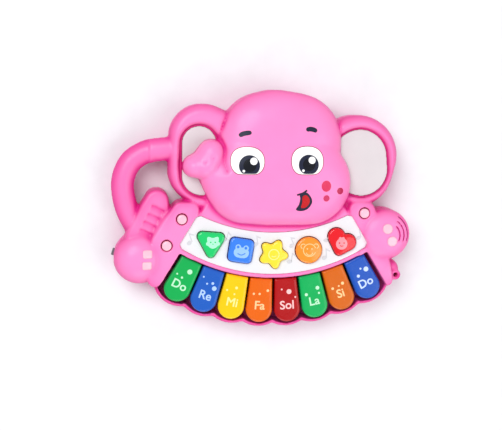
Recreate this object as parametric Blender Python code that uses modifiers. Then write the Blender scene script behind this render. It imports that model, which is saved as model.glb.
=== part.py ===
"""A toddler's electronic keyboard in the shape of an elephant, lying on its back with the face up.

+X is the object's right as a player sees it, +Y points to the top of the head and +Z out of the face.
Z is 0 under the feet of the rear shell. Outlines and heights are in millimetres and become metres in place.
The elephant's outline is a group of rounded lumps, each the hull of a few circles. Each lump has its own
height and edge radius. The same lumps, made smaller by the wall, hollow the two shells.
"""

import math

import bmesh
import bpy
from mathutils import Matrix, Vector
from mathutils.geometry import convex_hull_2d, intersect_line_line_2d

MM = 0.001
WELD = 0.00001

# Driving heights, from the underside of the feet
FOOT_HEIGHT = 1.5
PARTING = 17.0
SPLIT_GAP = 0.15
WALL = 2.2
REAR_EDGE = 5.0
FLOOR_TOP = FOOT_HEIGHT + WALL
CLEAR = 0.3

# The keys and the panel are laid out round one fan centre, behind the forehead
FAN_X, FAN_Y = 9.6, 96.5
KEY_COUNT = 8
KEY_PITCH = 7.7
KEY_TIP = 195.0
KEY_BACK = 155.9
KEY_TIP_RADIUS = 11.7
KEY_BACK_HALF = 9.7
KEY_TOP = 28.5
KEY_SKIRT = 16.0
KEY_WALL = 1.8
PIVOT_RADIUS = 124.0
PIVOT_HEIGHT = 17.0
TRUNNION_RADIUS = 1.5
TRUNNION_HALF = 7.15
PLUNGER_RADIUS = 172.0
PLUNGER_FOOT = 14.2
SCALLOP_CENTRE = 175.0
SCALLOP_RADIUS = 25.0
KEYBED_RADIUS = SCALLOP_CENTRE + SCALLOP_RADIUS
KEYBED_WALL = 3.4
KEY_OPENING_HALF = 31.5
FAN_HALF = 34.0
RIM_TOP = 31.0
RIM_CEILING = 26.0
LIP_TOP = 24.5

# The white panel
PANEL_LOW_RADIUS = 151.5
PANEL_LOW_HALF = 32.5
PANEL_ARC_Y = 127.3
PANEL_HIGH_RADIUS = 146.0
PANEL_HIGH_HALF = 26.6
PANEL_TOP = 30.5
PANEL_THICK = 2.0
PANEL_CORNER = 3.0
PANEL_LEDGE = 1.5

# Push buttons: shaped ones on the panel, round ones on the cheek plates
BUTTON_TOP = 34.0
BUTTON_FOOT = 26.8
BUTTON_FLANGE = 1.2
BUTTON_GAP = 0.4
FUNCTION_TOP = 34.0
FUNCTION_RADIUS = 4.2
FUNCTION_SPOTS = ((-70.0, -6.8), (-82.8, -29.3), (87.5, -2.3))

# Boards
MAIN_BOARD_LOW, MAIN_BOARD_HIGH = 20.4, 22.0
KEY_BOARD_LOW, KEY_BOARD_HIGH = 7.0, 8.6
PAD_LOW, PAD_HIGH, PAD_PUCK = 22.3, 23.3, 24.5
STRIP_LOW, STRIP_HIGH, STRIP_PUCK = 8.9, 9.9, 11.2

# Lumps of the outline: circles (x, y, radius), top height, top edge radius
HEAD = (
    [(25.0, 60.0, 40.0), (-5.0, 60.0, 40.0), (10.0, 63.5, 40.0), (25.0, 38.0, 40.0), (-5.0, 38.0, 40.0)],
    44.0,
    20.0,
)
MUZZLE = ([(-15.0, 23.5, 37.5), (35.5, 23.5, 37.5)], 46.0, 16.0)
TRUNK = ([(-55.0, 40.0, 14.0), (-46.0, 46.0, 14.5)], 45.0, 9.0)
EAR_LEFT = ([(-52.0, 61.5, 29.0), (-55.0, 36.5, 26.0), (-30.0, 50.0, 30.0)], 30.0, 8.0)
EAR_RIGHT = ([(82.0, 46.5, 35.5), (83.0, 33.5, 31.0)], 30.2, 8.0)
CHEEK_LEFT = (
    [(-71.0, 1.0, 7.0), (-62.0, 1.0, 7.0), (-88.0, -26.5, 8.0), (-93.0, -59.5, 6.0), (-65.0, -41.5, 6.0)],
    32.5,
    3.0,
)
CHEEK_RIGHT = (
    [(81.0, 1.0, 7.0), (90.0, 0.0, 7.5), (103.0, -29.5, 7.0), (111.0, -61.5, 6.0), (90.0, -41.5, 6.0)],
    32.7,
    3.0,
)
LOUVRE = ([(-91.0, 8.0, 10.5), (-105.0, -23.5, 13.0), (-85.0, -21.5, 8.0)], 28.0, 4.0)
FOOT_LEFT = ([(-106.0, -41.5, 22.0)], 37.0, 18.0)
FOOT_RIGHT = ([(107.0, -21.5, 22.5)], 37.2, 18.0)
CORNER_RIGHT = ([(111.4, -54.4, 11.1)], 27.0, 6.0)
FACE_LUMPS = (HEAD, MUZZLE, TRUNK)
BODY_LUMPS = (CHEEK_LEFT, CHEEK_RIGHT, LOUVRE, FOOT_LEFT, FOOT_RIGHT, CORNER_RIGHT)
EAR_FLOOR_LOW, EAR_FLOOR, EAR_INLAY_TOP = 22.3, 24.7, 26.4
INLAY_LEFT = [(-55.3, 57.0, 16.0), (-53.0, 30.0, 18.5)]
INLAY_RIGHT = [(82.0, 45.5, 25.0), (84.0, 36.5, 24.0)]

# The carrying loop on the left
HANDLE_ROUTE = (
    (-74.5, 52.6), (-85.0, 51.8), (-99.0, 49.5), (-112.0, 41.5), (-118.5, 29.0),
    (-119.5, 16.5), (-116.5, 2.0), (-111.0, -10.0), (-103.0, -22.0),
)
HANDLE_RADIUS = 10.0
HANDLE_HEIGHT = 17.0

# Speaker, power switch and battery bay
SPEAKER_X, SPEAKER_Y, SPEAKER_RADIUS = 109.0, -21.5, 16.0
SWITCH_ANGLE = 162.9
SWITCH_TRAVEL = 4.0
SWITCH_LOW, SWITCH_HIGH = 11.0, 14.0
BAY_X, BAY_Y = 10.0, 37.0
BAY_LENGTH, BAY_WIDTH, BAY_CEILING = 57.0, 46.6, 19.6
CELL_RADIUS, CELL_LENGTH, CELL_HEIGHT = 7.2, 50.0, 11.3
DOOR_LEFT, DOOR_RIGHT, DOOR_HALF_WIDTH = -22.0, 49.0, 27.0
DOOR_THICK = 2.1
DOOR_SCREW_X = 44.0

SCREW_SPOTS = (
    (-62.0, 70.0), (92.0, 66.0), (-100.0, -52.0), (108.0, -56.0), (-40.0, 6.0), (55.0, 6.0), (10.0, 92.0),
)
SCREW_CEILINGS = (23.5, 23.5, 31.0, 31.4, 37.0, 41.0, 38.3)
SCREW_BOSS_RADIUS = 3.6
SCREW_RADIUS = 1.3
SCREW_HEAD_RADIUS = 2.8
SCREW_SHOULDER = 8.3
SCREW_TIP = 22.5
TOWER_RADIUS = 5.2
BAY_WALL = 1.8
KEY_POST_TOP = 18.5
GRILLE_SLOTS = 3
GRILLE_INNER, GRILLE_PITCH, GRILLE_WIDTH = 10.5, 3.5, 1.6
GRILLE_SPAN = (-36.0, 64.0)
EYELET = (118.0, -57.5)
EYELET_RADIUS, EYELET_HOLE, EYELET_TOP = 4.0, 2.0, 28.0
REST_FEET = ((-100.0, -42.0), (104.0, -40.0), (-45.0, 62.0), (70.0, 60.0))

PINK = (0.93, 0.22, 0.52)
LIGHT_PINK = (0.95, 0.55, 0.66)
WHITE = (0.86, 0.86, 0.88)
PEARL = (0.60, 0.57, 0.58)
KEY_COLOURS = (
    (0.0, 0.45, 0.10), (0.03, 0.16, 0.65), (0.95, 0.62, 0.01), (0.90, 0.20, 0.01),
    (0.50, 0.0, 0.01), (0.0, 0.47, 0.12), (0.72, 0.18, 0.0), (0.02, 0.12, 0.58),
)
KEY_ANGLES = tuple((k - (KEY_COUNT - 1) / 2) * KEY_PITCH for k in range(KEY_COUNT))

for leftover in list(bpy.data.objects):
    bpy.data.objects.remove(leftover)


def new_collection(name):
    collection = bpy.data.collections.new(name)
    bpy.context.scene.collection.children.link(collection)
    return collection


PARTS = new_collection("toy_keyboard")
CUTTERS = new_collection("cutters")


# Outlines, in millimetres


def ring(x, y, radius, steps=16):
    return [
        (x + radius * math.cos(math.tau * k / steps), y + radius * math.sin(math.tau * k / steps))
        for k in range(steps)
    ]


def hull(circles, grow=0.0, steps=16):
    """The outline round a group of circles, as a band stretched round pegs."""
    points = [Vector(p) for x, y, r in circles for p in ring(x, y, r + grow, steps)]
    return [tuple(points[k]) for k in convex_hull_2d(points)]


def fan_point(radius, degrees):
    angle = math.radians(degrees)
    return FAN_X + radius * math.sin(angle), FAN_Y - radius * math.cos(angle)


def fan(inner, outer, start, end, step=6.0):
    """A ring sector about the fan centre. Angles are from -Y, towards +X."""
    count = max(2, round((end - start) / step))
    angles = [start + (end - start) * k / count for k in range(count + 1)]
    return [fan_point(outer, a) for a in angles] + [fan_point(inner, a) for a in reversed(angles)]


def keybed(inner, half, grow=0.0):
    """A ring sector whose outer edge bulges round the tip of each key."""
    count = 4 * math.ceil(2 * half / KEY_PITCH)
    points = []
    for k in range(count + 1):
        degrees = half * (2 * k / count - 1)
        off = math.radians(min((degrees - angle for angle in KEY_ANGLES), key=abs))
        bulge = math.sqrt((SCALLOP_RADIUS + grow) ** 2 - (SCALLOP_CENTRE * math.sin(off)) ** 2)
        points.append(fan_point(SCALLOP_CENTRE * math.cos(off) + bulge, degrees))
    back = [fan_point(inner, half * (1 - k / 3)) for k in range(7)]
    return points + back


def rounded(corners, steps=3):
    """An outline from (x, y, radius) corners, each turned into an arc of that radius."""
    points = []
    for k, (x, y, radius) in enumerate(corners):
        here = Vector((x, y))
        if radius == 0:
            points.append((x, y))
            continue
        back = (Vector(corners[k - 1][:2]) - here).normalized()
        ahead = (Vector(corners[(k + 1) % len(corners)][:2]) - here).normalized()
        half = back.angle(ahead) / 2
        centre = here + (back + ahead).normalized() * (radius / math.sin(half))
        first = here + back * (radius / math.tan(half)) - centre
        last = here + ahead * (radius / math.tan(half)) - centre
        points += [tuple(centre + first.slerp(last, s / steps)) for s in range(steps + 1)]
    return points


def turned(points, degrees, x, y):
    """Local outline points turned about the origin and then moved to (x, y)."""
    c, s = math.cos(math.radians(degrees)), math.sin(math.radians(degrees))
    return [(x + c * px - s * py, y + s * px + c * py) for px, py in points]


def panel_outline(grow=0.0):
    low_half = PANEL_LOW_HALF + math.degrees(grow / PANEL_LOW_RADIUS)
    high_half = math.radians(PANEL_HIGH_HALF) + grow / PANEL_HIGH_RADIUS
    low = [fan_point(PANEL_LOW_RADIUS + grow, low_half * (k / 6 - 1)) for k in range(13)]
    radius = PANEL_HIGH_RADIUS - grow
    high = []
    for k in range(11):
        angle = high_half * (1 - k / 5)
        high.append((FAN_X + radius * math.sin(angle), PANEL_ARC_Y - radius * math.cos(angle)))
    corner = PANEL_CORNER + grow
    corners = [(x, y, corner if k in (0, len(low) - 1) else 0) for k, (x, y) in enumerate(low)]
    corners += [(x, y, corner if k in (0, len(high) - 1) else 0) for k, (x, y) in enumerate(high)]
    return rounded(corners)


def triangle_outline(grow=0.0):
    circles = [(-52.6, -21.6, 4.4), (-37.8, -22.8, 4.4), (-45.4, -36.0, 3.9)]
    return hull(circles, grow, 16)


def square_outline(grow=0.0):
    pegs = [(sx * 6.2, sy * 6.2) for sx, sy in ((-1, -1), (1, -1), (1, 1), (-1, 1))]
    circles = [(x, y, 4.4) for x, y in turned(pegs, -9, -19.6, -33.9)]
    return hull(circles, grow, 16)


def star_outline(grow=0.0):
    points = []
    for k in range(30):
        angle = math.radians(64) + math.tau * k / 30
        radius = 11.0 + 2.0 * math.cos(5 * (angle - math.radians(64))) + grow
        points.append((8.6 + radius * math.cos(angle), -37.3 + radius * math.sin(angle)))
    return points


def circle_outline(grow=0.0):
    return ring(39.3, -34.1, 11.6 + grow, 24)


def reach(outline, centre, angle):
    """How far a convex outline lies from a centre inside it, in one direction."""
    ahead = Vector((math.cos(angle), math.sin(angle)))
    far = centre + ahead * 100.0
    for k, corner in enumerate(outline):
        hit = intersect_line_line_2d(centre, far, outline[k - 1], corner)
        if hit is not None:
            return (hit - centre).length
    return 0.0


def heart_outline(grow=0.0):
    """Two lobes that share one soft tip, each lobe and the tip held in a band."""
    tip = (66.0, -35.0, 4.2)
    lobes = ((63.5, -22.5, 7.6), (73.5, -27.5, 7.4))
    bands = [hull([lobe, tip], grow, 20) for lobe in lobes]
    centre = Vector((67.8, -28.5))
    points = []
    for k in range(32):
        angle = math.tau * k / 32 + math.radians(62)
        radius = max(reach(band, centre, angle) for band in bands)
        points.append((centre.x + radius * math.cos(angle), centre.y + radius * math.sin(angle)))
    return points


SHAPES = (
    ("button_triangle", triangle_outline, (-45.4, -27.0), (0.0, 0.75, 0.24)),
    ("button_square", square_outline, (-19.6, -33.9), (0.04, 0.26, 0.87)),
    ("button_star", star_outline, (8.6, -37.3), (1.0, 0.77, 0.06)),
    ("button_circle", circle_outline, (39.3, -34.1), (1.0, 0.33, 0.03)),
    ("button_heart", heart_outline, (67.8, -28.5), (0.79, 0.0, 0.01)),
)


# Building blocks


def paint(piece, name, colour, roughness=0.35, metallic=0.0):
    material = bpy.data.materials.get(name) or bpy.data.materials.new(name)
    material.use_nodes = True
    shader = material.node_tree.nodes["Principled BSDF"]
    shader.inputs["Base Color"].default_value = (*colour, 1.0)
    shader.inputs["Roughness"].default_value = roughness
    shader.inputs["Metallic"].default_value = metallic
    piece.data.materials.clear()
    piece.data.materials.append(material)
    return piece


def place(piece, home):
    for collection in list(piece.users_collection):
        collection.objects.unlink(piece)
    home.objects.link(piece)
    if home is CUTTERS:
        piece.hide_render = True
        piece.display_type = "WIRE"
    return piece


def meshed(drawn, name, home, flat_caps=True):
    """A curve object as a closed mesh object, with its caps welded and their triangles merged."""
    mesh = bpy.data.meshes.new_from_object(drawn)
    mesh.name = name
    shape = bmesh.new()
    shape.from_mesh(mesh)
    bmesh.ops.remove_doubles(shape, verts=shape.verts, dist=WELD)
    if flat_caps:
        bmesh.ops.dissolve_limit(
            shape, angle_limit=math.radians(0.5), verts=shape.verts, edges=shape.edges
        )
    bmesh.ops.recalc_face_normals(shape, faces=shape.faces)
    shape.to_mesh(mesh)
    shape.free()
    piece = bpy.data.objects.new(name, mesh)
    piece.location = drawn.location
    bpy.data.objects.remove(drawn)
    return place(piece, home)


def plate(name, outline, low, high, home=PARTS):
    """A flat outline filled and extruded from one height to another."""
    curve = bpy.data.curves.new(name, "CURVE")
    curve.dimensions = "2D"
    curve.fill_mode = "BOTH"
    curve.extrude = (high - low) / 2 * MM
    spline = curve.splines.new("POLY")
    spline.points.add(len(outline) - 1)
    for point, (x, y) in zip(spline.points, outline):
        point.co = (x * MM, y * MM, 0.0, 1.0)
    spline.use_cyclic_u = True
    drawn = bpy.data.objects.new(name + "_outline", curve)
    drawn.location.z = (low + high) / 2 * MM
    return meshed(drawn, name, home)


def tube(name, route, radius, home=PARTS, sides=2, flat_caps=False):
    """A round bar along (x, y, z) points, with flat ends."""
    curve = bpy.data.curves.new(name, "CURVE")
    curve.dimensions = "3D"
    curve.bevel_depth = radius * MM
    curve.bevel_resolution = sides
    curve.use_fill_caps = True
    spline = curve.splines.new("POLY")
    spline.points.add(len(route) - 1)
    for point, (x, y, z) in zip(spline.points, route):
        point.co = (x * MM, y * MM, z * MM, 1.0)
    drawn = bpy.data.objects.new(name + "_line", curve)
    return meshed(drawn, name, home, flat_caps)


def solid(name, shape, home, x, y, z, turn=0.0):
    """A new object from a bmesh, at (x, y, z) in millimetres and turned about Z."""
    mesh = bpy.data.meshes.new(name)
    shape.to_mesh(mesh)
    shape.free()
    piece = bpy.data.objects.new(name, mesh)
    piece.location = (x * MM, y * MM, z * MM)
    piece.rotation_euler.z = math.radians(turn)
    return place(piece, home)


def boxed(name, x, y, low, high, length, width, turn=0.0, home=CUTTERS):
    """A box centred at (x, y), its length along its own X, turned about Z."""
    shape = bmesh.new()
    size = Matrix.Diagonal((length * MM, width * MM, (high - low) * MM, 1.0))
    bmesh.ops.create_cube(shape, size=1.0, matrix=size)
    return solid(name, shape, home, x, y, (low + high) / 2, turn)


def cylinder(radius, length, steps, lie_down=False):
    shape = bmesh.new()
    turn = Matrix.Rotation(math.pi / 2, 4, "Y") if lie_down else Matrix.Identity(4)
    size = {"radius1": radius * MM, "radius2": radius * MM, "depth": length * MM}
    bmesh.ops.create_cone(shape, cap_ends=True, segments=steps, matrix=turn, **size)
    return shape


def drum(name, x, y, low, high, radius, steps=12, home=CUTTERS):
    """An upright cylinder."""
    return solid(name, cylinder(radius, high - low, steps), home, x, y, (low + high) / 2)


def axle(name, x, y, z, radius, length, turn=0.0, steps=10, home=CUTTERS):
    """A level cylinder centred at (x, y, z), its length along X turned about Z."""
    return solid(name, cylinder(radius, length, steps, True), home, x, y, z, turn)


def round_edges(piece, radius, segments=2, side=0):
    """Round every sharp edge, or only the edges of the top (side 1) or of the bottom (side -1)."""
    bevel = piece.modifiers.new("rounded_edge", "BEVEL")
    bevel.width = radius * MM
    bevel.segments = segments
    bevel.limit_method = "ANGLE"
    bevel.angle_limit = math.radians(40)
    bevel.use_clamp_overlap = False
    if side:
        bevel.limit_method = "WEIGHT"
        corners = piece.data.vertices
        level = max(side * corner.co.z for corner in corners) - WELD
        weights = piece.data.attributes.new("bevel_weight_edge", "FLOAT", "EDGE")
        for edge in piece.data.edges:
            on_side = all(side * corners[v].co.z > level for v in edge.vertices)
            weights.data[edge.index].value = 1.0 if on_side else 0.0
    return piece


def lathe(name, profile, x, y, steps=14, home=PARTS):
    """A turned piece. Its (radius, height) profile runs from the top of the axis down the outside."""
    mesh = bpy.data.meshes.new(name)
    points = [(r * MM, 0.0, z * MM) for r, z in profile]
    mesh.from_pydata(points, [(k, k + 1) for k in range(len(points) - 1)], [])
    piece = bpy.data.objects.new(name, mesh)
    piece.location = (x * MM, y * MM, 0.0)
    screw = piece.modifiers.new("turned", "SCREW")
    screw.steps = steps
    screw.render_steps = steps
    screw.use_merge_vertices = True
    screw.merge_threshold = WELD
    return place(piece, home)


def combine(piece, operand, operation):
    step = piece.modifiers.new(operand.name, "BOOLEAN")
    step.operation = operation
    step.object = operand
    return piece


def join(piece, *operands):
    for operand in operands:
        combine(piece, operand, "UNION")
    return piece


def cut(piece, *operands):
    for operand in operands:
        combine(piece, operand, "DIFFERENCE")
    return piece


def smooth(route, per_span=3):
    """Points on a smooth curve that passes through every point of the route."""
    ends = [route[0], *route, route[-1]]
    points = []
    for a, b, c, d in zip(ends, ends[1:], ends[2:], ends[3:]):
        for s in range(per_span):
            t = s / per_span
            weights = (-t + 2 * t**2 - t**3, 2 - 5 * t**2 + 3 * t**3, t + 4 * t**2 - 3 * t**3, t**3 - t**2)
            spot = [sum(w * v for w, v in zip(weights, values)) / 2 for values in zip(a, b, c, d)]
            points.append(tuple(spot))
    return points + [tuple(route[-1])]


# The shells


def front_lump(name, shape, inset=0.0, steps=16, segments=2, home=CUTTERS):
    """A lump with a rounded top. It starts below the parting plane, where the shell is cut level."""
    circles, top, edge = shape
    low = PARTING - 2.0 - 0.1 * edge
    piece = plate(name, hull(circles, -inset, steps), low, top - inset, home)
    return round_edges(piece, edge - inset, segments, 1)


def rear_lump(name, shape, inset=0.0, steps=16, home=CUTTERS):
    outline = hull(shape[0], -inset, steps)
    piece = plate(name, outline, FOOT_HEIGHT + inset, PARTING + 2.0, home)
    return round_edges(piece, REAR_EDGE - inset, 1, -1)


def rim_block(name, low, top, inset=0.0):
    """The curved rim between the panel and the keys."""
    outer = KEY_BACK - 0.4 - inset
    half = FAN_HALF - 0.6 - math.degrees(inset / outer)
    piece = plate(name, fan(60.0, outer, -half, half), low, top, CUTTERS)
    return round_edges(piece, 3.0 - inset, 2, 1)


def ledge_block(name, low, top, inset=0.0):
    """The low ledge that runs round the tips of the keys."""
    half = FAN_HALF - math.degrees(inset / KEYBED_RADIUS)
    piece = plate(name, keybed(60.0, half, -inset), low, top, CUTTERS)
    return round_edges(piece, 3.0 - inset, 2, 1)


def handle_bar(name, radius):
    route = [(x, y, HANDLE_HEIGHT) for x, y in HANDLE_ROUTE]
    return tube(name, smooth(route, 2), radius, CUTTERS, 3)


def half_space(name, low, high):
    return boxed(name, 0.0, 0.0, low, high, 300.0, 300.0)


def arc_band(x, y, radius, width, start, end, step=10.0):
    count = round((end - start) / step)
    angles = [math.radians(start + (end - start) * k / count) for k in range(count + 1)]
    outer, inner = radius + width / 2, radius - width / 2
    band = [(x + outer * math.cos(a), y + outer * math.sin(a)) for a in angles]
    return band + [(x + inner * math.cos(a), y + inner * math.sin(a)) for a in reversed(angles)]


def inlay(name, circles, lumps, grow, low, high, home):
    """The ear shape less the face lumps that stand over it."""
    piece = plate(name, hull(circles, grow, 28), low, high, home)
    for k, shape in enumerate(lumps):
        cut(piece, front_lump(f"{name}_face_{k}", shape, -0.3 - grow, 16, 2))
    return piece


def front_shell():
    shell = front_lump("front_shell", EAR_LEFT, home=PARTS)
    join(shell, front_lump("ear_right", EAR_RIGHT))
    cut(shell, plate("ear_pocket_left", hull(INLAY_LEFT, 0.3, 28), EAR_FLOOR, 40.0, CUTTERS))
    cut(shell, plate("ear_pocket_right", hull(INLAY_RIGHT, 0.3, 28), EAR_FLOOR, 40.0, CUTTERS))
    for k, shape in enumerate(FACE_LUMPS + BODY_LUMPS):
        join(shell, front_lump(f"front_{k}", shape))
    join(shell, rim_block("front_rim", PARTING - 3.0, RIM_TOP))
    join(shell, ledge_block("front_lip", PARTING - 4.0, LIP_TOP))
    join(shell, handle_bar("front_handle", HANDLE_RADIUS))
    combine(shell, half_space("above_parting", PARTING + SPLIT_GAP, 80.0), "INTERSECT")
    ears = [(circles, EAR_FLOOR_LOW + WALL, 4.0) for circles, top, edge in (EAR_LEFT, EAR_RIGHT)]
    for k, shape in enumerate(FACE_LUMPS + BODY_LUMPS + tuple(ears)):
        cut(shell, front_lump(f"front_inside_{k}", shape, WALL, 12, 1))
    cut(shell, rim_block("front_rim_inside", PARTING - 3.0, RIM_CEILING, WALL))
    cut(shell, ledge_block("front_lip_inside", PARTING - 4.0, LIP_TOP - WALL, WALL))
    cut(shell, handle_bar("front_handle_inside", HANDLE_RADIUS - WALL))
    for k, outline in enumerate(board_outlines(1.0)):
        cut(shell, plate(f"board_space_{k}", outline, 12.0 + k, MAIN_BOARD_HIGH + 0.7 + 0.2 * k, CUTTERS))
    cut(shell, drum("speaker_space", SPEAKER_X, SPEAKER_Y, 12.5, 26.7, SPEAKER_RADIUS + 0.5, 16))
    for k, ((x, y), ceiling) in enumerate(zip(SCREW_SPOTS, SCREW_CEILINGS)):
        join(shell, drum(f"screw_boss_{k}", x, y, PARTING + CLEAR, ceiling, SCREW_BOSS_RADIUS, 10))
        pilot = (PARTING - 2.0, SCREW_TIP + CLEAR, SCREW_RADIUS + CLEAR)
        cut(shell, drum(f"screw_pilot_{k}", x, y, *pilot, 8))
    cut(shell, plate("panel_pocket", panel_outline(CLEAR), PANEL_TOP - PANEL_THICK - CLEAR, 40.0, CUTTERS))
    cut(shell, plate("panel_window", panel_outline(-PANEL_LEDGE), 10.0, 40.0, CUTTERS))
    opening = keybed(KEY_BACK - 0.4, KEY_OPENING_HALF, -KEYBED_WALL)
    cut(shell, plate("key_opening", opening, 10.0, 40.0, CUTTERS))
    for k, (x, y) in enumerate(FUNCTION_SPOTS):
        cut(shell, drum(f"function_hole_{k}", x, y, 25.0, 40.0, FUNCTION_RADIUS + BUTTON_GAP, 16))
    for k in range(GRILLE_SLOTS):
        radius = GRILLE_INNER + k * GRILLE_PITCH
        slot = arc_band(*FOOT_RIGHT[0][0][:2], radius, GRILLE_WIDTH, *GRILLE_SPAN, 17.5)
        cut(shell, plate(f"grille_slot_{k}", slot, 20.0, 40.0, CUTTERS))
    join(shell, drum("eyelet", *EYELET, PARTING + CLEAR, EYELET_TOP, EYELET_RADIUS, 14))
    cut(shell, drum("eyelet_hole", *EYELET, EYELET_TOP - 4.0, 40.0, EYELET_HOLE, 10))
    return paint(shell, "pink_housing", PINK)


def rear_shell():
    shell = rear_lump("rear_shell", HEAD, home=PARTS)
    shapes = (MUZZLE, EAR_LEFT, EAR_RIGHT) + BODY_LUMPS
    for k, shape in enumerate(shapes):
        join(shell, rear_lump(f"rear_{k}", shape))
    join(shell, rear_fan("rear_keybed"))
    join(shell, handle_bar("rear_handle", HANDLE_RADIUS))
    combine(shell, half_space("below_parting", -5.0, PARTING - SPLIT_GAP), "INTERSECT")
    for k, shape in enumerate((HEAD,) + shapes):
        cut(shell, rear_lump(f"rear_inside_{k}", shape, WALL, 12))
    cut(shell, rear_fan("rear_keybed_inside", WALL), handle_bar("rear_handle_inside", HANDLE_RADIUS - WALL))
    for k, (x, y) in enumerate(SCREW_SPOTS):
        join(shell, drum(f"screw_tower_{k}", x, y, FLOOR_TOP - 1.0, PARTING - CLEAR, TOWER_RADIUS, 10))
    bay_outer = (BAY_LENGTH + 2 * BAY_WALL, BAY_WIDTH + 2 * BAY_WALL)
    door_x, door_length = (DOOR_LEFT + DOOR_RIGHT) / 2, DOOR_RIGHT - DOOR_LEFT
    frame = (door_length + 6.0, 2 * DOOR_HALF_WIDTH + 6.0)
    join(shell, boxed("bay_walls", BAY_X, BAY_Y, FLOOR_TOP - 1.0, BAY_CEILING + BAY_WALL, *bay_outer))
    join(shell, boxed("door_frame", door_x, BAY_Y, FOOT_HEIGHT + 0.4, 6.0, *frame))
    join(shell, drum("door_screw_boss", DOOR_SCREW_X, BAY_Y, 5.0, 13.0, 3.8, 10))
    for k, degrees in enumerate((-30.0, -10.0, 10.0, 29.0)):
        spot = fan_point(114.5, degrees)
        join(shell, drum(f"board_post_{k}", *spot, 3.0, MAIN_BOARD_LOW - CLEAR, 2.6, 8))
    for k, degrees in enumerate((-14.0, 14.0)):
        spot = fan_point(PLUNGER_RADIUS, degrees)
        join(shell, drum(f"key_board_post_{k}", *spot, 3.0, KEY_BOARD_LOW - CLEAR, 4.0, 8))
    for k, (x, y) in enumerate(REST_FEET):
        join(shell, drum(f"rest_foot_{k}", x, y, 0.0, 3.0, 5.0, 12))
    cut(shell, boxed("bay_inside", BAY_X, BAY_Y, -2.0, BAY_CEILING, BAY_LENGTH, BAY_WIDTH))
    recess = (door_length + 2 * CLEAR, 2 * (DOOR_HALF_WIDTH + CLEAR))
    cut(shell, boxed("door_recess", door_x, BAY_Y, -2.5, FOOT_HEIGHT + DOOR_THICK + CLEAR, *recess))
    cut(shell, drum("door_screw_pilot", DOOR_SCREW_X, BAY_Y, 2.0, 12.0, SCREW_RADIUS + CLEAR, 8))
    for k, (x, y) in enumerate(SCREW_SPOTS):
        bore = SCREW_HEAD_RADIUS + 0.4
        cut(shell, drum(f"screw_counterbore_{k}", x, y, -2.0, SCREW_SHOULDER + CLEAR, bore, 10))
        cut(shell, drum(f"screw_clearance_{k}", x, y, 5.0, 20.0, SCREW_RADIUS + CLEAR, 8))
    slot = (18.0, 26.0, 6.0 + SWITCH_TRAVEL + 1.0, SWITCH_LOW - 0.6, SWITCH_HIGH + 0.6)
    cut(shell, switch_box("switch_slot", *slot))
    return paint(shell, "pink_rear_housing", PINK)


def rear_fan(name, inset=0.0):
    half = FAN_HALF - math.degrees(inset / KEYBED_RADIUS)
    piece = plate(name, keybed(60.0, half, -inset), FOOT_HEIGHT + inset, PARTING + 2.0, CUTTERS)
    return round_edges(piece, REAR_EDGE - inset, 1, -1)


def ear_panels():
    span = (0.0, EAR_FLOOR + CLEAR, EAR_INLAY_TOP, PARTS)
    left = inlay("ear_panel_left", INLAY_LEFT, FACE_LUMPS, *span)
    right = inlay("ear_panel_right", INLAY_RIGHT, FACE_LUMPS[:2], *span)
    for piece in (left, right):
        paint(piece, "pearl_grey", PEARL, 0.45)


# The white panel and the buttons


def button_panel():
    panel = plate("button_panel", panel_outline(), PANEL_TOP - PANEL_THICK, PANEL_TOP)
    for name, outline, centre, colour in SHAPES:
        cut(panel, plate(f"{name}_hole", outline(BUTTON_GAP), 20.0, 40.0, CUTTERS))
    paint(panel, "white_panel", WHITE, 0.3)


def shape_buttons():
    """Each cap has a flange that stays under the panel."""
    flange_top = PANEL_TOP - PANEL_THICK - CLEAR
    for name, outline, centre, colour in SHAPES:
        cap = round_edges(plate(name, outline(), BUTTON_FOOT + 0.3, BUTTON_TOP), 1.2, 2, 1)
        join(cap, plate(f"{name}_flange", outline(BUTTON_FLANGE), BUTTON_FOOT, flange_top, CUTTERS))
        paint(cap, f"{name}_plastic", colour, 0.15)


def function_buttons():
    for k, (x, y) in enumerate(FUNCTION_SPOTS):
        profile = [
            (0.0, FUNCTION_TOP), (3.2, FUNCTION_TOP - 0.3), (FUNCTION_RADIUS, FUNCTION_TOP - 1.6),
            (FUNCTION_RADIUS, 30.0), (5.8, 30.0), (5.8, 28.6), (2.0, 28.6), (2.0, 26.9), (0.0, 26.9),
        ]
        paint(lathe(f"function_button_{k + 1}", profile, x, y, 14), "light_pink_button", LIGHT_PINK, 0.3)
        switch = boxed(f"function_switch_{k + 1}", x, y, 22.3, 24.9, 6.0, 6.0, home=PARTS)
        join(switch, drum(f"switch_plunger_{k}", x, y, 24.0, 25.6, 1.7, 8))
        paint(switch, "tact_switch", (0.03, 0.03, 0.03), 0.5)


# The keys and what carries them


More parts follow.
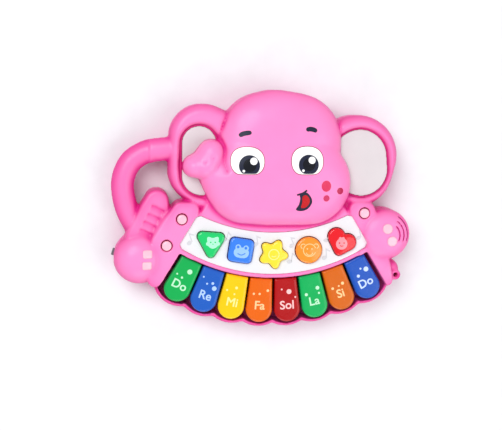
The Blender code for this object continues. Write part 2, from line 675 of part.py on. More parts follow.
def key_blank():
    """One key about its own pivot: the cap reaches along -Y, and the pivot's axis is X."""
    back, tip = PIVOT_RADIUS - KEY_BACK, PIVOT_RADIUS - KEY_TIP
    corner = 1.5
    circles = [
        (KEY_BACK_HALF - corner, back - corner, corner),
        (corner - KEY_BACK_HALF, back - corner, corner),
        (0.0, tip + KEY_TIP_RADIUS, KEY_TIP_RADIUS),
    ]
    outline = hull(circles, steps=14)
    blank = plate("key_blank", outline, KEY_SKIRT - PIVOT_HEIGHT, KEY_TOP - PIVOT_HEIGHT, CUTTERS)
    round_edges(blank, 1.3, 1, 1)
    inside = hull(circles, 0.4 - KEY_WALL, 12)
    top = KEY_TOP - KEY_WALL - PIVOT_HEIGHT
    cut(blank, plate("key_inside", inside, -20.0, top, CUTTERS))
    arm_end = back - 2.5
    join(blank, boxed("key_arm", 0.0, arm_end / 2, -1.0, 1.0, 8.0, -arm_end))
    join(blank, axle("key_trunnion", 0.0, 0.0, 0.0, TRUNNION_RADIUS, 2 * TRUNNION_HALF, steps=16))
    plunger = PIVOT_RADIUS - PLUNGER_RADIUS
    join(blank, drum("key_plunger", 0.0, plunger, PLUNGER_FOOT - PIVOT_HEIGHT, top + 0.5, 2.5, 8))
    bpy.context.view_layer.update()
    evaluated = blank.evaluated_get(bpy.context.evaluated_depsgraph_get())
    shape = bpy.data.meshes.new_from_object(evaluated)
    shape.transform(blank.matrix_world)
    return shape


def keys():
    shape = key_blank()
    for k, degrees in enumerate(KEY_ANGLES):
        key = bpy.data.objects.new(f"key_{k + 1}", shape.copy())
        x, y = fan_point(PIVOT_RADIUS, degrees)
        key.location = (x * MM, y * MM, PIVOT_HEIGHT * MM)
        key.rotation_euler.z = math.radians(degrees)
        PARTS.objects.link(key)
        paint(key, f"key_colour_{k + 1}", KEY_COLOURS[k], 0.25)


def key_carrier():
    """A curved base on three legs. Slots in the posts between the keys hold the pivots' ends."""
    half = FAN_HALF - 2.5
    carrier = plate("key_carrier", fan(119.5, 128.5, -half, half), 12.5, 14.6)
    for k in range(KEY_COUNT + 1):
        degrees = (k - KEY_COUNT / 2) * KEY_PITCH
        x, y = fan_point(PIVOT_RADIUS, degrees)
        join(carrier, boxed(f"post_{k}", x, y, 13.0, KEY_POST_TOP, 4.4, 6.0, degrees))
    for k, degrees in enumerate((-26.0, 0.0, 26.0)):
        spot = fan_point(PIVOT_RADIUS, degrees)
        join(carrier, drum(f"carrier_leg_{k}", *spot, FLOOR_TOP + CLEAR, 13.3, 3.0, 8))
    for k, degrees in enumerate(KEY_ANGLES):
        x, y = fan_point(PIVOT_RADIUS, degrees)
        slot = (2 * (TRUNNION_HALF + 0.4), 2 * (TRUNNION_RADIUS + 0.35))
        cut(carrier, boxed(f"pivot_slot_{k}", x, y, PIVOT_HEIGHT - slot[1] / 2, 25.0, *slot, degrees))
    paint(carrier, "carrier_plastic", (0.55, 0.55, 0.57), 0.5)
    strip = fan(121.0, 127.0, -half, half)
    retainer = plate("key_retainer", strip, KEY_POST_TOP + CLEAR, KEY_POST_TOP + 1.5)
    paint(retainer, "carrier_plastic", (0.55, 0.55, 0.57), 0.5)


def board_outlines(grow=0.0):
    """A sector under the panel, and a lobe under the round buttons on each cheek."""
    sector = fan(112.0 - grow, 148.0 + grow, -38.0 - grow / 2, 33.5 + grow / 2)
    left = [(*FUNCTION_SPOTS[0], 6.0), (*FUNCTION_SPOTS[1], 6.0), (-66.0, -22.0, 8.0)]
    right = [(*FUNCTION_SPOTS[2], 5.5), (70.0, -7.0, 8.0)]
    return sector, hull(left, grow, 12), hull(right, grow, 12)


def boards():
    sector, left, right = board_outlines()
    board = plate("main_board", sector, MAIN_BOARD_LOW, MAIN_BOARD_HIGH)
    join(board, plate("board_lobe_left", left, MAIN_BOARD_LOW, MAIN_BOARD_HIGH - 0.1, CUTTERS))
    join(board, plate("board_lobe_right", right, MAIN_BOARD_LOW, MAIN_BOARD_HIGH - 0.1, CUTTERS))
    paint(board, "circuit_board", (0.02, 0.20, 0.06), 0.4)
    chip = drum("sound_chip", *fan_point(118.5, 0.0), PAD_LOW, 23.9, 5.0, 16, PARTS)
    paint(round_edges(chip, 0.7, 2), "glob_top", (0.01, 0.01, 0.01), 0.25)
    pad = plate("button_contact_pad", fan(126.0, 144.0, -28.0, 31.0), PAD_LOW, PAD_HIGH)
    for name, outline, centre, colour in SHAPES:
        join(pad, drum(f"{name}_puck", *centre, PAD_LOW + 0.2, PAD_PUCK, 4.0, 8))
    paint(pad, "contact_rubber", (0.30, 0.31, 0.33), 0.7)
    paint(
        plate("key_board", fan(160.0, 184.0, -29.0, 29.0), KEY_BOARD_LOW, KEY_BOARD_HIGH),
        "circuit_board",
        (0.02, 0.20, 0.06),
        0.4,
    )
    strip = plate("key_contact_strip", fan(166.0, 178.0, -29.0, 29.0), STRIP_LOW, STRIP_HIGH)
    for k, degrees in enumerate(KEY_ANGLES):
        spot = fan_point(PLUNGER_RADIUS, degrees)
        join(strip, drum(f"key_puck_{k}", *spot, STRIP_LOW + 0.2, STRIP_PUCK, 4.0, 8))
    paint(strip, "contact_rubber", (0.30, 0.31, 0.33), 0.7)


# Sound, power and fasteners


def speaker():
    frame = [
        (0.0, 18.0), (8.0, 18.0), (13.8, 24.9), (13.8, 26.3), (SPEAKER_RADIUS, 26.3),
        (SPEAKER_RADIUS, 24.6), (14.6, 24.2), (9.5, 17.0), (10.5, 17.0), (10.5, 11.0), (0.0, 11.0),
    ]
    cone = [
        (0.0, 21.0), (3.0, 20.4), (4.2, 19.4), (7.6, 19.6), (12.6, 25.7), (13.4, 25.7), (13.4, 25.0),
        (12.9, 25.0), (7.5, 18.5), (0.0, 18.5),
    ]
    paint(lathe("speaker", frame, SPEAKER_X, SPEAKER_Y), "speaker_steel", (0.45, 0.46, 0.48), 0.35, 1.0)
    paint(lathe("speaker_cone", cone, SPEAKER_X, SPEAKER_Y), "speaker_paper", (0.03, 0.03, 0.03), 0.9)


def switch_box(name, near, far, length, low, high, along=0.0, home=CUTTERS):
    """A box at the left foot's wall, from near to far out from the foot's centre."""
    angle = math.radians(SWITCH_ANGLE)
    outwards = Vector((math.cos(angle), math.sin(angle)))
    sideways = Vector((math.sin(angle), -math.cos(angle)))
    spot = Vector(FOOT_LEFT[0][0][:2]) + outwards * (near + far) / 2 + sideways * along
    return boxed(name, spot.x, spot.y, low, high, far - near, length, SWITCH_ANGLE, home)


def power_switch():
    body = switch_box("power_switch", 11.0, 17.2, 14.0, 9.0, 16.0, home=PARTS)
    paint(body, "switch_metal", (0.5, 0.5, 0.52), 0.3, 1.0)
    knob = switch_box("switch_slider", 17.6, 23.5, 6.0, SWITCH_LOW, SWITCH_HIGH, -SWITCH_TRAVEL / 2, PARTS)
    paint(round_edges(knob, 0.4, 2), "slider_grey", (0.55, 0.55, 0.56), 0.4)


def batteries():
    for k in range(3):
        y = BAY_Y + (k - 1) * (2 * CELL_RADIUS + 0.7)
        end = 1.0 if k % 2 == 0 else -1.0
        spot = (BAY_X - end * 0.5, y, CELL_HEIGHT)
        cell = axle(f"battery_{k + 1}", *spot, CELL_RADIUS, CELL_LENGTH - 1.0, 0.0, 16, PARTS)
        nub_x = BAY_X + end * (CELL_LENGTH / 2 - 1.0)
        join(cell, axle(f"cell_nub_{k}", nub_x, y, CELL_HEIGHT, 2.7, 2.0, 0.0, 10))
        paint(cell, "battery_wrap", (0.05, 0.12, 0.35), 0.3)
    for side, name in ((-1.0, "battery_contact_left"), (1.0, "battery_contact_right")):
        x = BAY_X + side * (BAY_LENGTH / 2 - 0.6)
        contact = boxed(name, x, BAY_Y, 5.5, 17.0, 0.5, 42.0, home=PARTS)
        for k in range(3):
            y = BAY_Y + (k - 1) * (2 * CELL_RADIUS + 0.7)
            span = BAY_LENGTH / 2 - 0.6 - CELL_LENGTH / 2 - CLEAR
            spot = (x - side * span / 2, y, CELL_HEIGHT)
            join(contact, axle(f"{name}_bump_{k}", *spot, 2.4, span, 0.0, 8))
        paint(contact, "contact_metal", (0.70, 0.68, 0.62), 0.25, 1.0)


def battery_door():
    x, length = (DOOR_LEFT + DOOR_RIGHT) / 2, DOOR_RIGHT - DOOR_LEFT
    top = FOOT_HEIGHT + DOOR_THICK
    door = boxed("battery_door", x, BAY_Y, FOOT_HEIGHT, top, length, 2 * DOOR_HALF_WIDTH, home=PARTS)
    for k, side in enumerate((-1.0, 1.0)):
        y = BAY_Y + side * (CELL_RADIUS + 0.35)
        join(door, boxed(f"door_rib_{k}", BAY_X, y, top - 0.5, top + 1.6, 44.0, 1.2))
    bore = SCREW_HEAD_RADIUS + 0.4
    cut(door, drum("door_counterbore", DOOR_SCREW_X, BAY_Y, 0.0, FOOT_HEIGHT + 1.0, bore, 14))
    cut(door, drum("door_hole", DOOR_SCREW_X, BAY_Y, 0.5, 10.0, SCREW_RADIUS + CLEAR, 10))
    paint(door, "pink_rear_housing", PINK)


def screw_profile(head_low, head_high, tip):
    """Pan head below, shank above: turned from the tip down the outside to the driver face."""
    return [
        (0.0, tip), (SCREW_RADIUS, tip - 1.6), (SCREW_RADIUS, head_high),
        (SCREW_HEAD_RADIUS, head_high), (SCREW_HEAD_RADIUS - 0.3, head_low), (0.0, head_low),
    ]


def fasteners():
    case = screw_profile(SCREW_SHOULDER - 1.9, SCREW_SHOULDER, SCREW_TIP)
    for k, (x, y) in enumerate(SCREW_SPOTS):
        paint(lathe(f"case_screw_{k + 1}", case, x, y, 8), "screw_steel", (0.6, 0.6, 0.62), 0.3, 1.0)
    door = screw_profile(FOOT_HEIGHT + 0.1, FOOT_HEIGHT + 0.9, 9.5)
    paint(lathe("door_screw", door, DOOR_SCREW_X, BAY_Y, 8), "screw_steel", (0.6, 0.6, 0.62), 0.3, 1.0)


def leads():
    speaker_route = ((92.0, -11.0, 25.5), (89.0, -12.5, 26.0), (85.5, -13.5, 25.0), (83.0, -14.5, 22.6))
    battery_route = ((-21.0, 22.0, 14.0), (-25.0, 14.0, 14.5), (-26.0, 2.0, 16.5), (-22.0, -17.5, 19.4))
    switch_route = (
        (-115.5, -38.2, 12.0), (-104.0, -32.0, 10.0), (-92.0, -22.0, 13.0), (-79.0, -15.0, 19.3),
    )
    routes = (
        ("speaker_lead", speaker_route), ("battery_lead", battery_route), ("switch_lead", switch_route),
    )
    for name, route in routes:
        paint(tube(name, smooth(route, 2), 0.8, sides=1), f"{name}_cover", (0.5, 0.02, 0.02), 0.5)


keys()
front_shell()
rear_shell()
ear_panels()
button_panel()
shape_buttons()
function_buttons()
key_carrier()
boards()
speaker()
power_switch()
batteries()
battery_door()
fasteners()
leads()
for part in PARTS.objects:
    if part.type == "MESH":
        part.data.shade_smooth()
        part.data.set_sharp_from_angle(angle=math.radians(35))
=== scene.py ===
"""The looks of a toddler's elephant keyboard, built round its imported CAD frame.

Lengths are in millimetres and become metres where a mesh is made. +X is the player's right, +Y the top of the
head and +Z out of the face. The two housings are height fields of rounded lumps, remeshed and smoothed.
"""

import math
from contextlib import contextmanager

import bmesh
import bpy
import numpy as np
from mathutils import Matrix, Vector
from mathutils.bvhtree import BVHTree
from mathutils.geometry import delaunay_2d_cdt


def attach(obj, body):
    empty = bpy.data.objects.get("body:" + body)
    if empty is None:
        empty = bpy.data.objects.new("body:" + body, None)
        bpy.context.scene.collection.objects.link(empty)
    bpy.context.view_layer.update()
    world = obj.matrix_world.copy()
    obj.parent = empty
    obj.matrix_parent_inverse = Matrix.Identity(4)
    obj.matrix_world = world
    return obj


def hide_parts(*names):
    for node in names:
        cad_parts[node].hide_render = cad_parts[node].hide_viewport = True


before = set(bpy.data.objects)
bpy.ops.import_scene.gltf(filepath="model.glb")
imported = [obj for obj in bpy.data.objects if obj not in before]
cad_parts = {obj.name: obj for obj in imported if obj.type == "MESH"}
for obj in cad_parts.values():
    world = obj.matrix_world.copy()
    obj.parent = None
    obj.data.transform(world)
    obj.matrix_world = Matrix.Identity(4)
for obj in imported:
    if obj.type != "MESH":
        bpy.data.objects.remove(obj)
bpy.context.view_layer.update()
MM = 0.001
TAU = math.tau

# The CAD's own driving sizes
FAN = Vector((9.6, 96.5))
KEY_COUNT = 8
KEY_PITCH = 7.7
KEY_ANGLES = [(k - (KEY_COUNT - 1) / 2) * KEY_PITCH for k in range(KEY_COUNT)]
KEY_BACK = 155.9
KEY_TOP, KEY_SKIRT = 28.5, 16.0
SCALLOP_CENTRE, SCALLOP_RADIUS, KEYBED_WALL = 175.0, 25.0, 3.4
LEDGE_TOP = 24.5
RIM_TOP = 31.0
PANEL_LOW_RADIUS, PANEL_LOW_HALF = 151.5, 33.9
PANEL_HIGH_RADIUS, PANEL_HIGH_HALF, PANEL_ARC_Y = 146.0, 27.7, 127.3
PANEL_TOP, PANEL_THICK = 30.5, 2.0
BUTTON_TOP, BUTTON_FOOT = 34.0, 26.8
PARTING, SPLIT_GAP, FOOT_HEIGHT = 17.0, 0.15, 1.5
FLOOR_TOP = 3.7
FUNCTION_SPOTS = ((-70.0, -6.8), (-82.8, -29.3), (87.5, -2.3))
SCREW_SPOTS = (
    (-62.0, 70.0), (92.0, 66.0), (-100.0, -52.0), (108.0, -56.0), (-40.0, 6.0), (55.0, 6.0), (10.0, 92.0),
)
SCREW_SHOULDER, SCREW_WELL_RADIUS = 8.3, 3.3
REST_FEET, REST_FOOT_RADIUS = ((-100.0, -42.0), (104.0, -40.0), (-45.0, 62.0), (70.0, 60.0)), 5.0
BAY = (10.0, 37.0, 57.0, 46.6)
BAY_CEILING = 19.6
DOOR, DOOR_SEAT = (13.5, 37.0, 71.0, 54.0), 3.9
FOOT_LEFT, FOOT_RIGHT = (-106.0, -41.5, 22.0), (107.0, -21.5, 22.5)
SWITCH_ANGLE, SWITCH_HEIGHT, SWITCH_SLOT = 162.9, 12.5, (7.0, 11.0, 4.2)
INLAY_LEFT = [(-55.3, 57.0, 16.0), (-53.0, 30.0, 18.5)]
INLAY_RIGHT = [(83.6, 46.0, 25.0), (85.4, 35.0, 24.2)]
INLAY_FLOOR, INLAY_TOP = 24.9, 26.4
EYELET, EYELET_RADIUS, EYELET_HOLE = (118.0, -57.5), 4.6, 1.9
KEY_TIP, KEY_TIP_RADIUS, KEY_BACK_HALF = 183.3, 11.7, 9.7
HANDLE_RADIUS, HANDLE_HEIGHT, SLEEVE_RADIUS = 10.0, 17.0, 11.4
HANDLE_ROUTE = (
    (-70.0, 53.0), (-85.0, 51.8), (-99.0, 49.5), (-112.0, 41.5), (-118.5, 29.0),
    (-119.5, 16.5), (-116.5, 2.0), (-111.0, -10.0), (-103.0, -22.0),
)

# Sizes of the visual model alone
PLAN_CELL = 0.5
FRONT_VOXEL, REAR_VOXEL = 0.9, 0.95
EAR_TOP = 30.5
SHELL_EDGE = 19.0
CAP_WELL_FLOOR = 23.4
FUNCTION_WELL_FLOOR, FUNCTION_WELL_RADIUS = 26.0, 5.0
NOWHERE = -60.0


# Fields over the plan


class Field:
    """A grid of points over part of the plan, on which distances and heights are arrays."""

    def __init__(self, x, y, half_x, half_y, cell):
        steps_x, steps_y = round(half_x / cell), round(half_y / cell)
        across = x + cell * np.arange(-steps_x, steps_x + 1)
        along = y + cell * np.arange(-steps_y, steps_y + 1)
        self.x, self.y = np.meshgrid(across, along)

    def spread(self, circles, steps=80):
        """Signed distance to the hull of some circles, negative inside it."""
        field = np.full(self.x.shape, -1e9)
        for k in range(steps):
            c, s = math.cos(TAU * k / steps), math.sin(TAU * k / steps)
            reach = max(x * c + y * s + r for x, y, r in circles)
            np.maximum(field, self.x * c + self.y * s - reach, out=field)
        return field

    def line(self, points):
        """Distance to an open line through some points."""
        nearest = np.full(self.x.shape, 1e18)
        for (ax, ay), (bx, by) in zip(points, points[1:]):
            ex, ey = bx - ax, by - ay
            t = np.clip(((self.x - ax) * ex + (self.y - ay) * ey) / max(ex * ex + ey * ey, 1e-12), 0, 1)
            np.minimum(nearest, (self.x - ax - t * ex) ** 2 + (self.y - ay - t * ey) ** 2, out=nearest)
        return np.sqrt(nearest)

    def within(self, outline):
        """Signed distance to any outline, negative inside it."""
        points = [tuple(p) for p in outline]
        inside = np.zeros(self.x.shape, bool)
        for (ax, ay), (bx, by) in zip(points, points[1:] + points[:1]):
            if ay != by:
                crosses = (ay > self.y) != (by > self.y)
                inside ^= crosses & (self.x < (self.y - ay) / (by - ay) * (bx - ax) + ax)
        distance = self.line(points + points[:1])
        return np.where(inside, -distance, distance)

    def spot(self, x, y):
        return np.hypot(self.x - x, self.y - y)

    def box(self, x, y, length, width):
        return np.maximum(np.abs(self.x - x) - length / 2, np.abs(self.y - y) - width / 2)

    def slab(self, name, mask, top, bottom):
        """A closed mesh between two heights, where the mask holds."""
        cells = mask[:-1, :-1] & mask[1:, :-1] & mask[:-1, 1:] & mask[1:, 1:]
        rows, columns = cells.shape
        used = np.zeros(mask.shape, bool)
        for i in (0, 1):
            for j in (0, 1):
                used[i : i + rows, j : j + columns] |= cells
        count = int(used.sum())
        number = np.full(mask.shape, -1)
        number[used] = np.arange(count)
        layers = [np.stack([self.x, self.y, z + 0 * self.x], 2)[used] for z in (top, bottom)]
        i, j = np.nonzero(cells)
        a, b, c, d = number[i, j], number[i, j + 1], number[i + 1, j + 1], number[i + 1, j]
        faces = [np.stack([a, b, c, d], 1), np.stack([d, c, b, a], 1) + count]
        around = np.pad(cells, 1)
        sides = ((-1, 0, (0, 0, 0, 1)), (1, 0, (1, 1, 1, 0)), (0, -1, (1, 0, 0, 0)), (0, 1, (0, 1, 1, 1)))
        for di, dj, edge in sides:
            open_side = cells & ~around[1 + di : 1 + di + rows, 1 + dj : 1 + dj + columns]
            i, j = np.nonzero(open_side)
            p, q = number[i + edge[0], j + edge[1]], number[i + edge[2], j + edge[3]]
            faces.append(np.stack([q, p, p + count, q + count], 1))
        mesh = bpy.data.meshes.new(name)
        mesh.from_pydata((np.concatenate(layers) * MM).tolist(), [], np.concatenate(faces).tolist())
        return mesh


# Outlines, as lists of points


def fan_point(radius, degrees):
    angle = math.radians(degrees)
    return Vector((FAN.x + radius * math.sin(angle), FAN.y - radius * math.cos(angle)))


def hull(circles, inset=0.0, steps=64):
    """The outline of the hull of some circles, always with the same number of points."""
    points = []
    for k in range(steps):
        c, s = math.cos(TAU * (k + 0.5) / steps), math.sin(TAU * (k + 0.5) / steps)
        x, y, r = max(circles, key=lambda circle: circle[0] * c + circle[1] * s + circle[2])
        points.append(Vector((x + (r - inset) * c, y + (r - inset) * s)))
    return points


def span(points):
    """The middle of some points, and half their extent in x and in y."""
    xs, ys = [p[0] for p in points], [p[1] for p in points]
    return (min(xs) + max(xs)) / 2, (min(ys) + max(ys)) / 2, (max(xs) - min(xs)) / 2, (max(ys) - min(ys)) / 2


def rounded(corners, steps=6):
    """An outline from (x, y, radius) corners."""
    points = []
    for k, (x, y, radius) in enumerate(corners):
        here = Vector((x, y))
        back = (Vector(corners[k - 1][:2]) - here).normalized()
        ahead = (Vector(corners[(k + 1) % len(corners)][:2]) - here).normalized()
        half = back.angle(ahead) / 2
        if radius == 0 or abs(half - math.pi / 2) < 1e-3:
            points.append(here)
            continue
        centre = here + (back + ahead).normalized() * (radius / math.sin(half))
        first = here + back * (radius / math.tan(half)) - centre
        last = here + ahead * (radius / math.tan(half)) - centre
        points += [centre + first.slerp(last, s / steps) for s in range(steps + 1)]
    return points


def smooth(route, per_span=6, closed=False):
    """A smooth curve through every point of the route."""
    ends = [route[-1], *route, route[0], route[1]] if closed else [route[0], *route, route[-1]]
    points = []
    for a, b, c, d in zip(ends, ends[1:], ends[2:], ends[3:]):
        for s in range(per_span):
            t = s / per_span
            weights = (-t + 2 * t**2 - t**3, 2 - 5 * t**2 + 3 * t**3, t + 4 * t**2 - 3 * t**3, t**3 - t**2)
            spot = [sum(w * v for w, v in zip(weights, values)) / 2 for values in zip(a, b, c, d)]
            points.append(Vector(spot))
    return points if closed else points + [Vector(route[-1])]


def sector(inner, outer, half):
    """A plain sector round the fan centre."""
    arc = [fan_point(outer, half * (k / 12 - 1)) for k in range(25)]
    return arc + [fan_point(inner, half), fan_point(inner, -half)]


def keybed(inner, half, inset=0.0, per_key=12):
    """A sector round the fan centre, bulging round the tip of each key."""
    count = per_key * math.ceil(2 * half / KEY_PITCH)
    points = []
    for k in range(count + 1):
        degrees = half * (2 * k / count - 1)
        off = math.radians(min((degrees - angle for angle in KEY_ANGLES), key=abs))
        bulge = math.sqrt((SCALLOP_RADIUS - inset) ** 2 - (SCALLOP_CENTRE * math.sin(off)) ** 2)
        points.append(fan_point(SCALLOP_CENTRE * math.cos(off) + bulge, degrees))
    return points + [fan_point(inner, half * (1 - k / 10)) for k in range(21)]


def panel_outline(grow):
    low_half = PANEL_LOW_HALF + math.degrees(grow / PANEL_LOW_RADIUS)
    high_half = math.radians(PANEL_HIGH_HALF) + grow / PANEL_HIGH_RADIUS
    low = [fan_point(PANEL_LOW_RADIUS + grow, low_half * (k / 16 - 1)) for k in range(33)]
    radius = PANEL_HIGH_RADIUS - grow
    high = []
    for k in range(29):
        angle = high_half * (1 - k / 14)
        high.append(Vector((FAN.x + radius * math.sin(angle), PANEL_ARC_Y - radius * math.cos(angle))))
    points = low + high
    corners = (0, len(low) - 1, len(low), len(points) - 1)
    return rounded([(p.x, p.y, 3.0 + grow if k in corners else 0.0) for k, p in enumerate(points)])


# Height fields


def dome(distance, top, base, reach, power=2.0):
    """A rounded lump that starts at base on its outline and reaches its top at some distance inside."""
    t = np.clip(-distance / reach, 0.0, 1.0)
    height = base + (top - base) * (1 - (1 - t) ** power) ** (1 / power)
    return np.where(distance < 0, height, NOWHERE)


def merge(a, b, blend):
    """The higher of two fields, with the crease between them filled."""
    overlap = np.maximum(blend - np.abs(a - b), 0) / blend
    return np.maximum(a, b) + overlap * overlap * blend / 4


def near(a, b, blend):
    """The union of two signed distances, with its inner corners filled."""
    overlap = np.maximum(blend - np.abs(a - b), 0) / blend
    return np.minimum(a, b) - overlap * overlap * blend / 4


PLAN = Field(0.0, 0.0, 133.0, 107.0, PLAN_CELL)
HEAD = PLAN.spread([
    (27.0, 60.0, 40.0), (2.0, 61.0, 40.0), (10.0, 63.0, 40.0), (27.0, 38.0, 40.0), (-4.0, 38.0, 40.0),
])
MUZZLE = PLAN.spread([(-15.0, 24.5, 36.5), (38.5, 24.0, 37.0), (12.0, 24.0, 37.5)])
TIP_TOP = PLAN.spread([(-45.5, 50.0, 10.8)])
TIP_LEFT = PLAN.spread([(-60.0, 38.2, 9.6)])
TIP_BODY = PLAN.spread([(-50.0, 39.0, 12.5), (-47.0, 45.0, 11.5)])
TRUNK_NECK = PLAN.spread([(-44.0, 32.0, 12.5), (-32.0, 20.0, 18.5)])
EAR_LEFT = PLAN.spread([(-52.0, 61.5, 29.0), (-54.0, 34.0, 28.0), (-30.0, 50.0, 30.0), (-50.0, 20.0, 20.0)])
EAR_RIGHT = PLAN.spread([(82.0, 46.5, 35.5), (83.0, 33.5, 31.0)])
CHEEK_LEFT = PLAN.spread([
    (-71.0, 1.0, 7.0), (-62.0, 1.0, 7.0), (-88.0, -26.5, 8.0), (-93.0, -59.5, 6.0), (-65.0, -41.5, 6.0),
])
CHEEK_RIGHT = PLAN.spread([
    (81.0, 1.0, 7.0), (90.0, 0.0, 7.5), (101.0, -29.5, 7.0), (109.5, -61.5, 5.5), (90.0, -41.5, 6.0),
])
LOUVRE = PLAN.spread([(-91.0, 8.0, 10.5), (-105.0, -23.5, 13.0), (-85.0, -21.5, 8.0)])
FOOT_L = PLAN.spread([FOOT_LEFT])
FOOT_R = PLAN.spread([FOOT_RIGHT])
CORNER_RIGHT = PLAN.spread([(111.4, -54.4, 11.1)])
LEDGE = PLAN.within(keybed(60.0, 34.0))
RIM = PLAN.within(sector(60.0, 155.5, 33.4))
APRON = PLAN.within(sector(60.0, 150.0, 37.0))
OPENING = PLAN.within(keybed(KEY_BACK - 0.4, 31.5, KEYBED_WALL))
HANDLE = PLAN.line([tuple(p) for p in smooth(HANDLE_ROUTE)])
EYELET_AWAY = PLAN.spot(*EYELET)
BAY_AREA = PLAN.box(*BAY)
LUMPS = (HEAD, MUZZLE, EAR_LEFT, EAR_RIGHT, CHEEK_LEFT, CHEEK_RIGHT, LOUVRE, FOOT_L, FOOT_R, CORNER_RIGHT)


def body_plan(*first):
    """The plan of the whole body, with anything that comes first."""
    plan, *others = *first, *LUMPS
    for region in others:
        plan = near(plan, region, 3.0)
    return near(near(plan, LEDGE, 0.5), APRON, 0.5)


FOOTPRINT = body_plan(HANDLE - HANDLE_RADIUS)
SHELL_AREA = ((FOOTPRINT < 0) | (EYELET_AWAY < EYELET_RADIUS)) & (EYELET_AWAY > EYELET_HOLE)


def ear_height(ear, inlay):
    """A rolled rim: round on its outer side, and falling to the ear's inlay on its inner side."""
    lip = INLAY_FLOOR + 0.3
    outer = dome(ear, EAR_TOP, SHELL_EDGE, 8.5)
    t = np.clip(inlay / 4.5, 0.0, 1.0)
    inner = lip + (EAR_TOP - lip) * np.sqrt(1 - (1 - t) ** 2)
    rolled = np.where(inlay < 0, INLAY_FLOOR, np.minimum(outer, inner))
    return np.where(ear < 0, rolled, NOWHERE)


def louvre_steps():
    """Four scoops on the plate at the left: each drops at its upper end and rises to the next."""
    x, y = PLAN.x + 89.5, PLAN.y - 3.0
    down_x, down_y = -0.45, -0.893
    along = x * down_x + y * down_y
    across = np.abs(y * down_x - x * down_y)
    pitch, depth, half_width = 7.4, 2.4, 6.2
    share = 1 - np.mod(along, pitch) / pitch
    fade = np.clip((half_width - across) / 0.8, 0, 1)
    held = (along > 0) & (along < 4 * pitch - 1)
    return np.where(held, depth * share * fade, 0.0)


SPEAKER_SLOTS = ((11.5, -28, 50), (15.5, -24, 58), (19.2, -20, 62))


def speaker_arcs():
    """Three curved slots on the right foot, each with a raised edge."""
    radius = PLAN.spot(*FOOT_RIGHT[:2])
    angle = np.degrees(np.arctan2(PLAN.y - FOOT_RIGHT[1], PLAN.x - FOOT_RIGHT[0]))
    change = np.zeros(PLAN.x.shape)
    for ring, start, end in SPEAKER_SLOTS:
        held = np.clip(np.minimum(angle - start, end - angle) / 5.0, 0, 1)
        change -= 2.6 * held * np.exp(-(((radius - ring) / 0.85) ** 2))
        change += 0.6 * held * np.exp(-(((radius - ring + 1.7) / 0.8) ** 2))
    return change


def handle_height():
    """The upper half of the handle's bar, with a thicker sleeve round its end at the ear."""
    bar = HANDLE_HEIGHT + np.sqrt(np.maximum(HANDLE_RADIUS**2 - HANDLE**2, 0))
    sleeve = HANDLE_HEIGHT + np.sqrt(np.maximum(SLEEVE_RADIUS**2 - HANDLE**2, 0))
    bar = np.where((PLAN.x > -97.0) & (PLAN.y > 30.0), sleeve, bar)
    return np.where((HANDLE < HANDLE_RADIUS) & (PLAN.x < -75.0), bar, NOWHERE)


def face_height():
    """The head, the muzzle and the trunk with its two nostrils."""
    face = merge(dome(HEAD, 43.2, 23.0, 34.0, 2.1), dome(MUZZLE, 45.0, 25.0, 26.0, 2.2), 8.0)
    tip = near(near(TIP_TOP, TIP_LEFT, 8.0), TIP_BODY, 4.0)
    trunk = dome(tip, 44.5, 29.0, 12.0, 2.3)
    trunk = merge(trunk, dome(TIP_BODY, 44.8, 29.0, 12.0), 5.0)
    for x, y, r, depth in ((-50.0, 46.5, 6.0, 1.2), (-51.0, 42.0, 1.7, 1.3), (-44.5, 45.8, 1.7, 1.3)):
        trunk -= depth * np.exp(-((PLAN.spot(x, y) / r) ** 2))
    face = merge(face, dome(TRUNK_NECK, 43.0, 28.0, 14.0), 7.0)
    crease = PLAN.line([(-37.0, 60.0), (-33.8, 52.0), (-35.0, 42.0), (-33.0, 35.0)])
    face -= 2.2 * np.exp(-((crease / 1.8) ** 2))
    return merge(face, trunk, 1.0)


def front_height():
    """The top of the front housing."""
    height = dome(FOOTPRINT, 22.5, 17.6, 4.0)
    inlay_left = PLAN.spread([(x, y, r + 0.4) for x, y, r in INLAY_LEFT])
    lumps = (
        (ear_height(EAR_LEFT, inlay_left), 0.6),
        (ear_height(EAR_RIGHT, PLAN.spread(INLAY_RIGHT)), 0.6),
        (handle_height(), 1.0),
        (dome(LEDGE, LEDGE_TOP, SHELL_EDGE, 3.0), 0.6),
        (dome(LOUVRE, 28.5, 20.0, 4.0, 2.4) - louvre_steps(), 0.8),
        (dome(APRON, 26.5, SHELL_EDGE, 3.0), 0.6),
        (dome(RIM, RIM_TOP, 27.0, 2.6), 0.6),
        (dome(FOOT_L, 37.0, SHELL_EDGE, 20.0, 2.1), 1.2),
        (dome(CORNER_RIGHT, 27.0, SHELL_EDGE, 6.0), 1.0),
        (dome(CHEEK_LEFT, 32.5, 28.0, 2.2, 2.2), 0.6),
        (dome(CHEEK_RIGHT, 32.7, 28.0, 2.2, 2.2), 0.6),
        (dome(FOOT_R, 38.0, 24.0, 21.0, 2.5) + speaker_arcs(), 0.8),
    )
    for lump, blend in lumps:
        height = merge(height, lump, blend)
    groove_depth, groove_width = 3.0, 1.7
    away = near(HEAD, MUZZLE, 6.0) + 1.6
    height = height - groove_depth * np.exp(-((away / groove_width) ** 2)) * (height > 22.0)
    return merge(height, face_height(), 0.8)


# Painted shade where the surface dips, and near the outline


def hollowness(height, reach=13):
    """How far each point lies under the mean height round it, in millimetres. The reach is in cells."""
    ground = np.maximum(height, 18.0)
    sums = np.pad(np.pad(ground, reach, mode="edge").cumsum(0).cumsum(1), ((1, 0), (1, 0)))
    side = 2 * reach + 1
    total = sums[side:, side:] - sums[:-side, side:] - sums[side:, :-side] + sums[:-side, :-side]
    return total / side**2 - ground


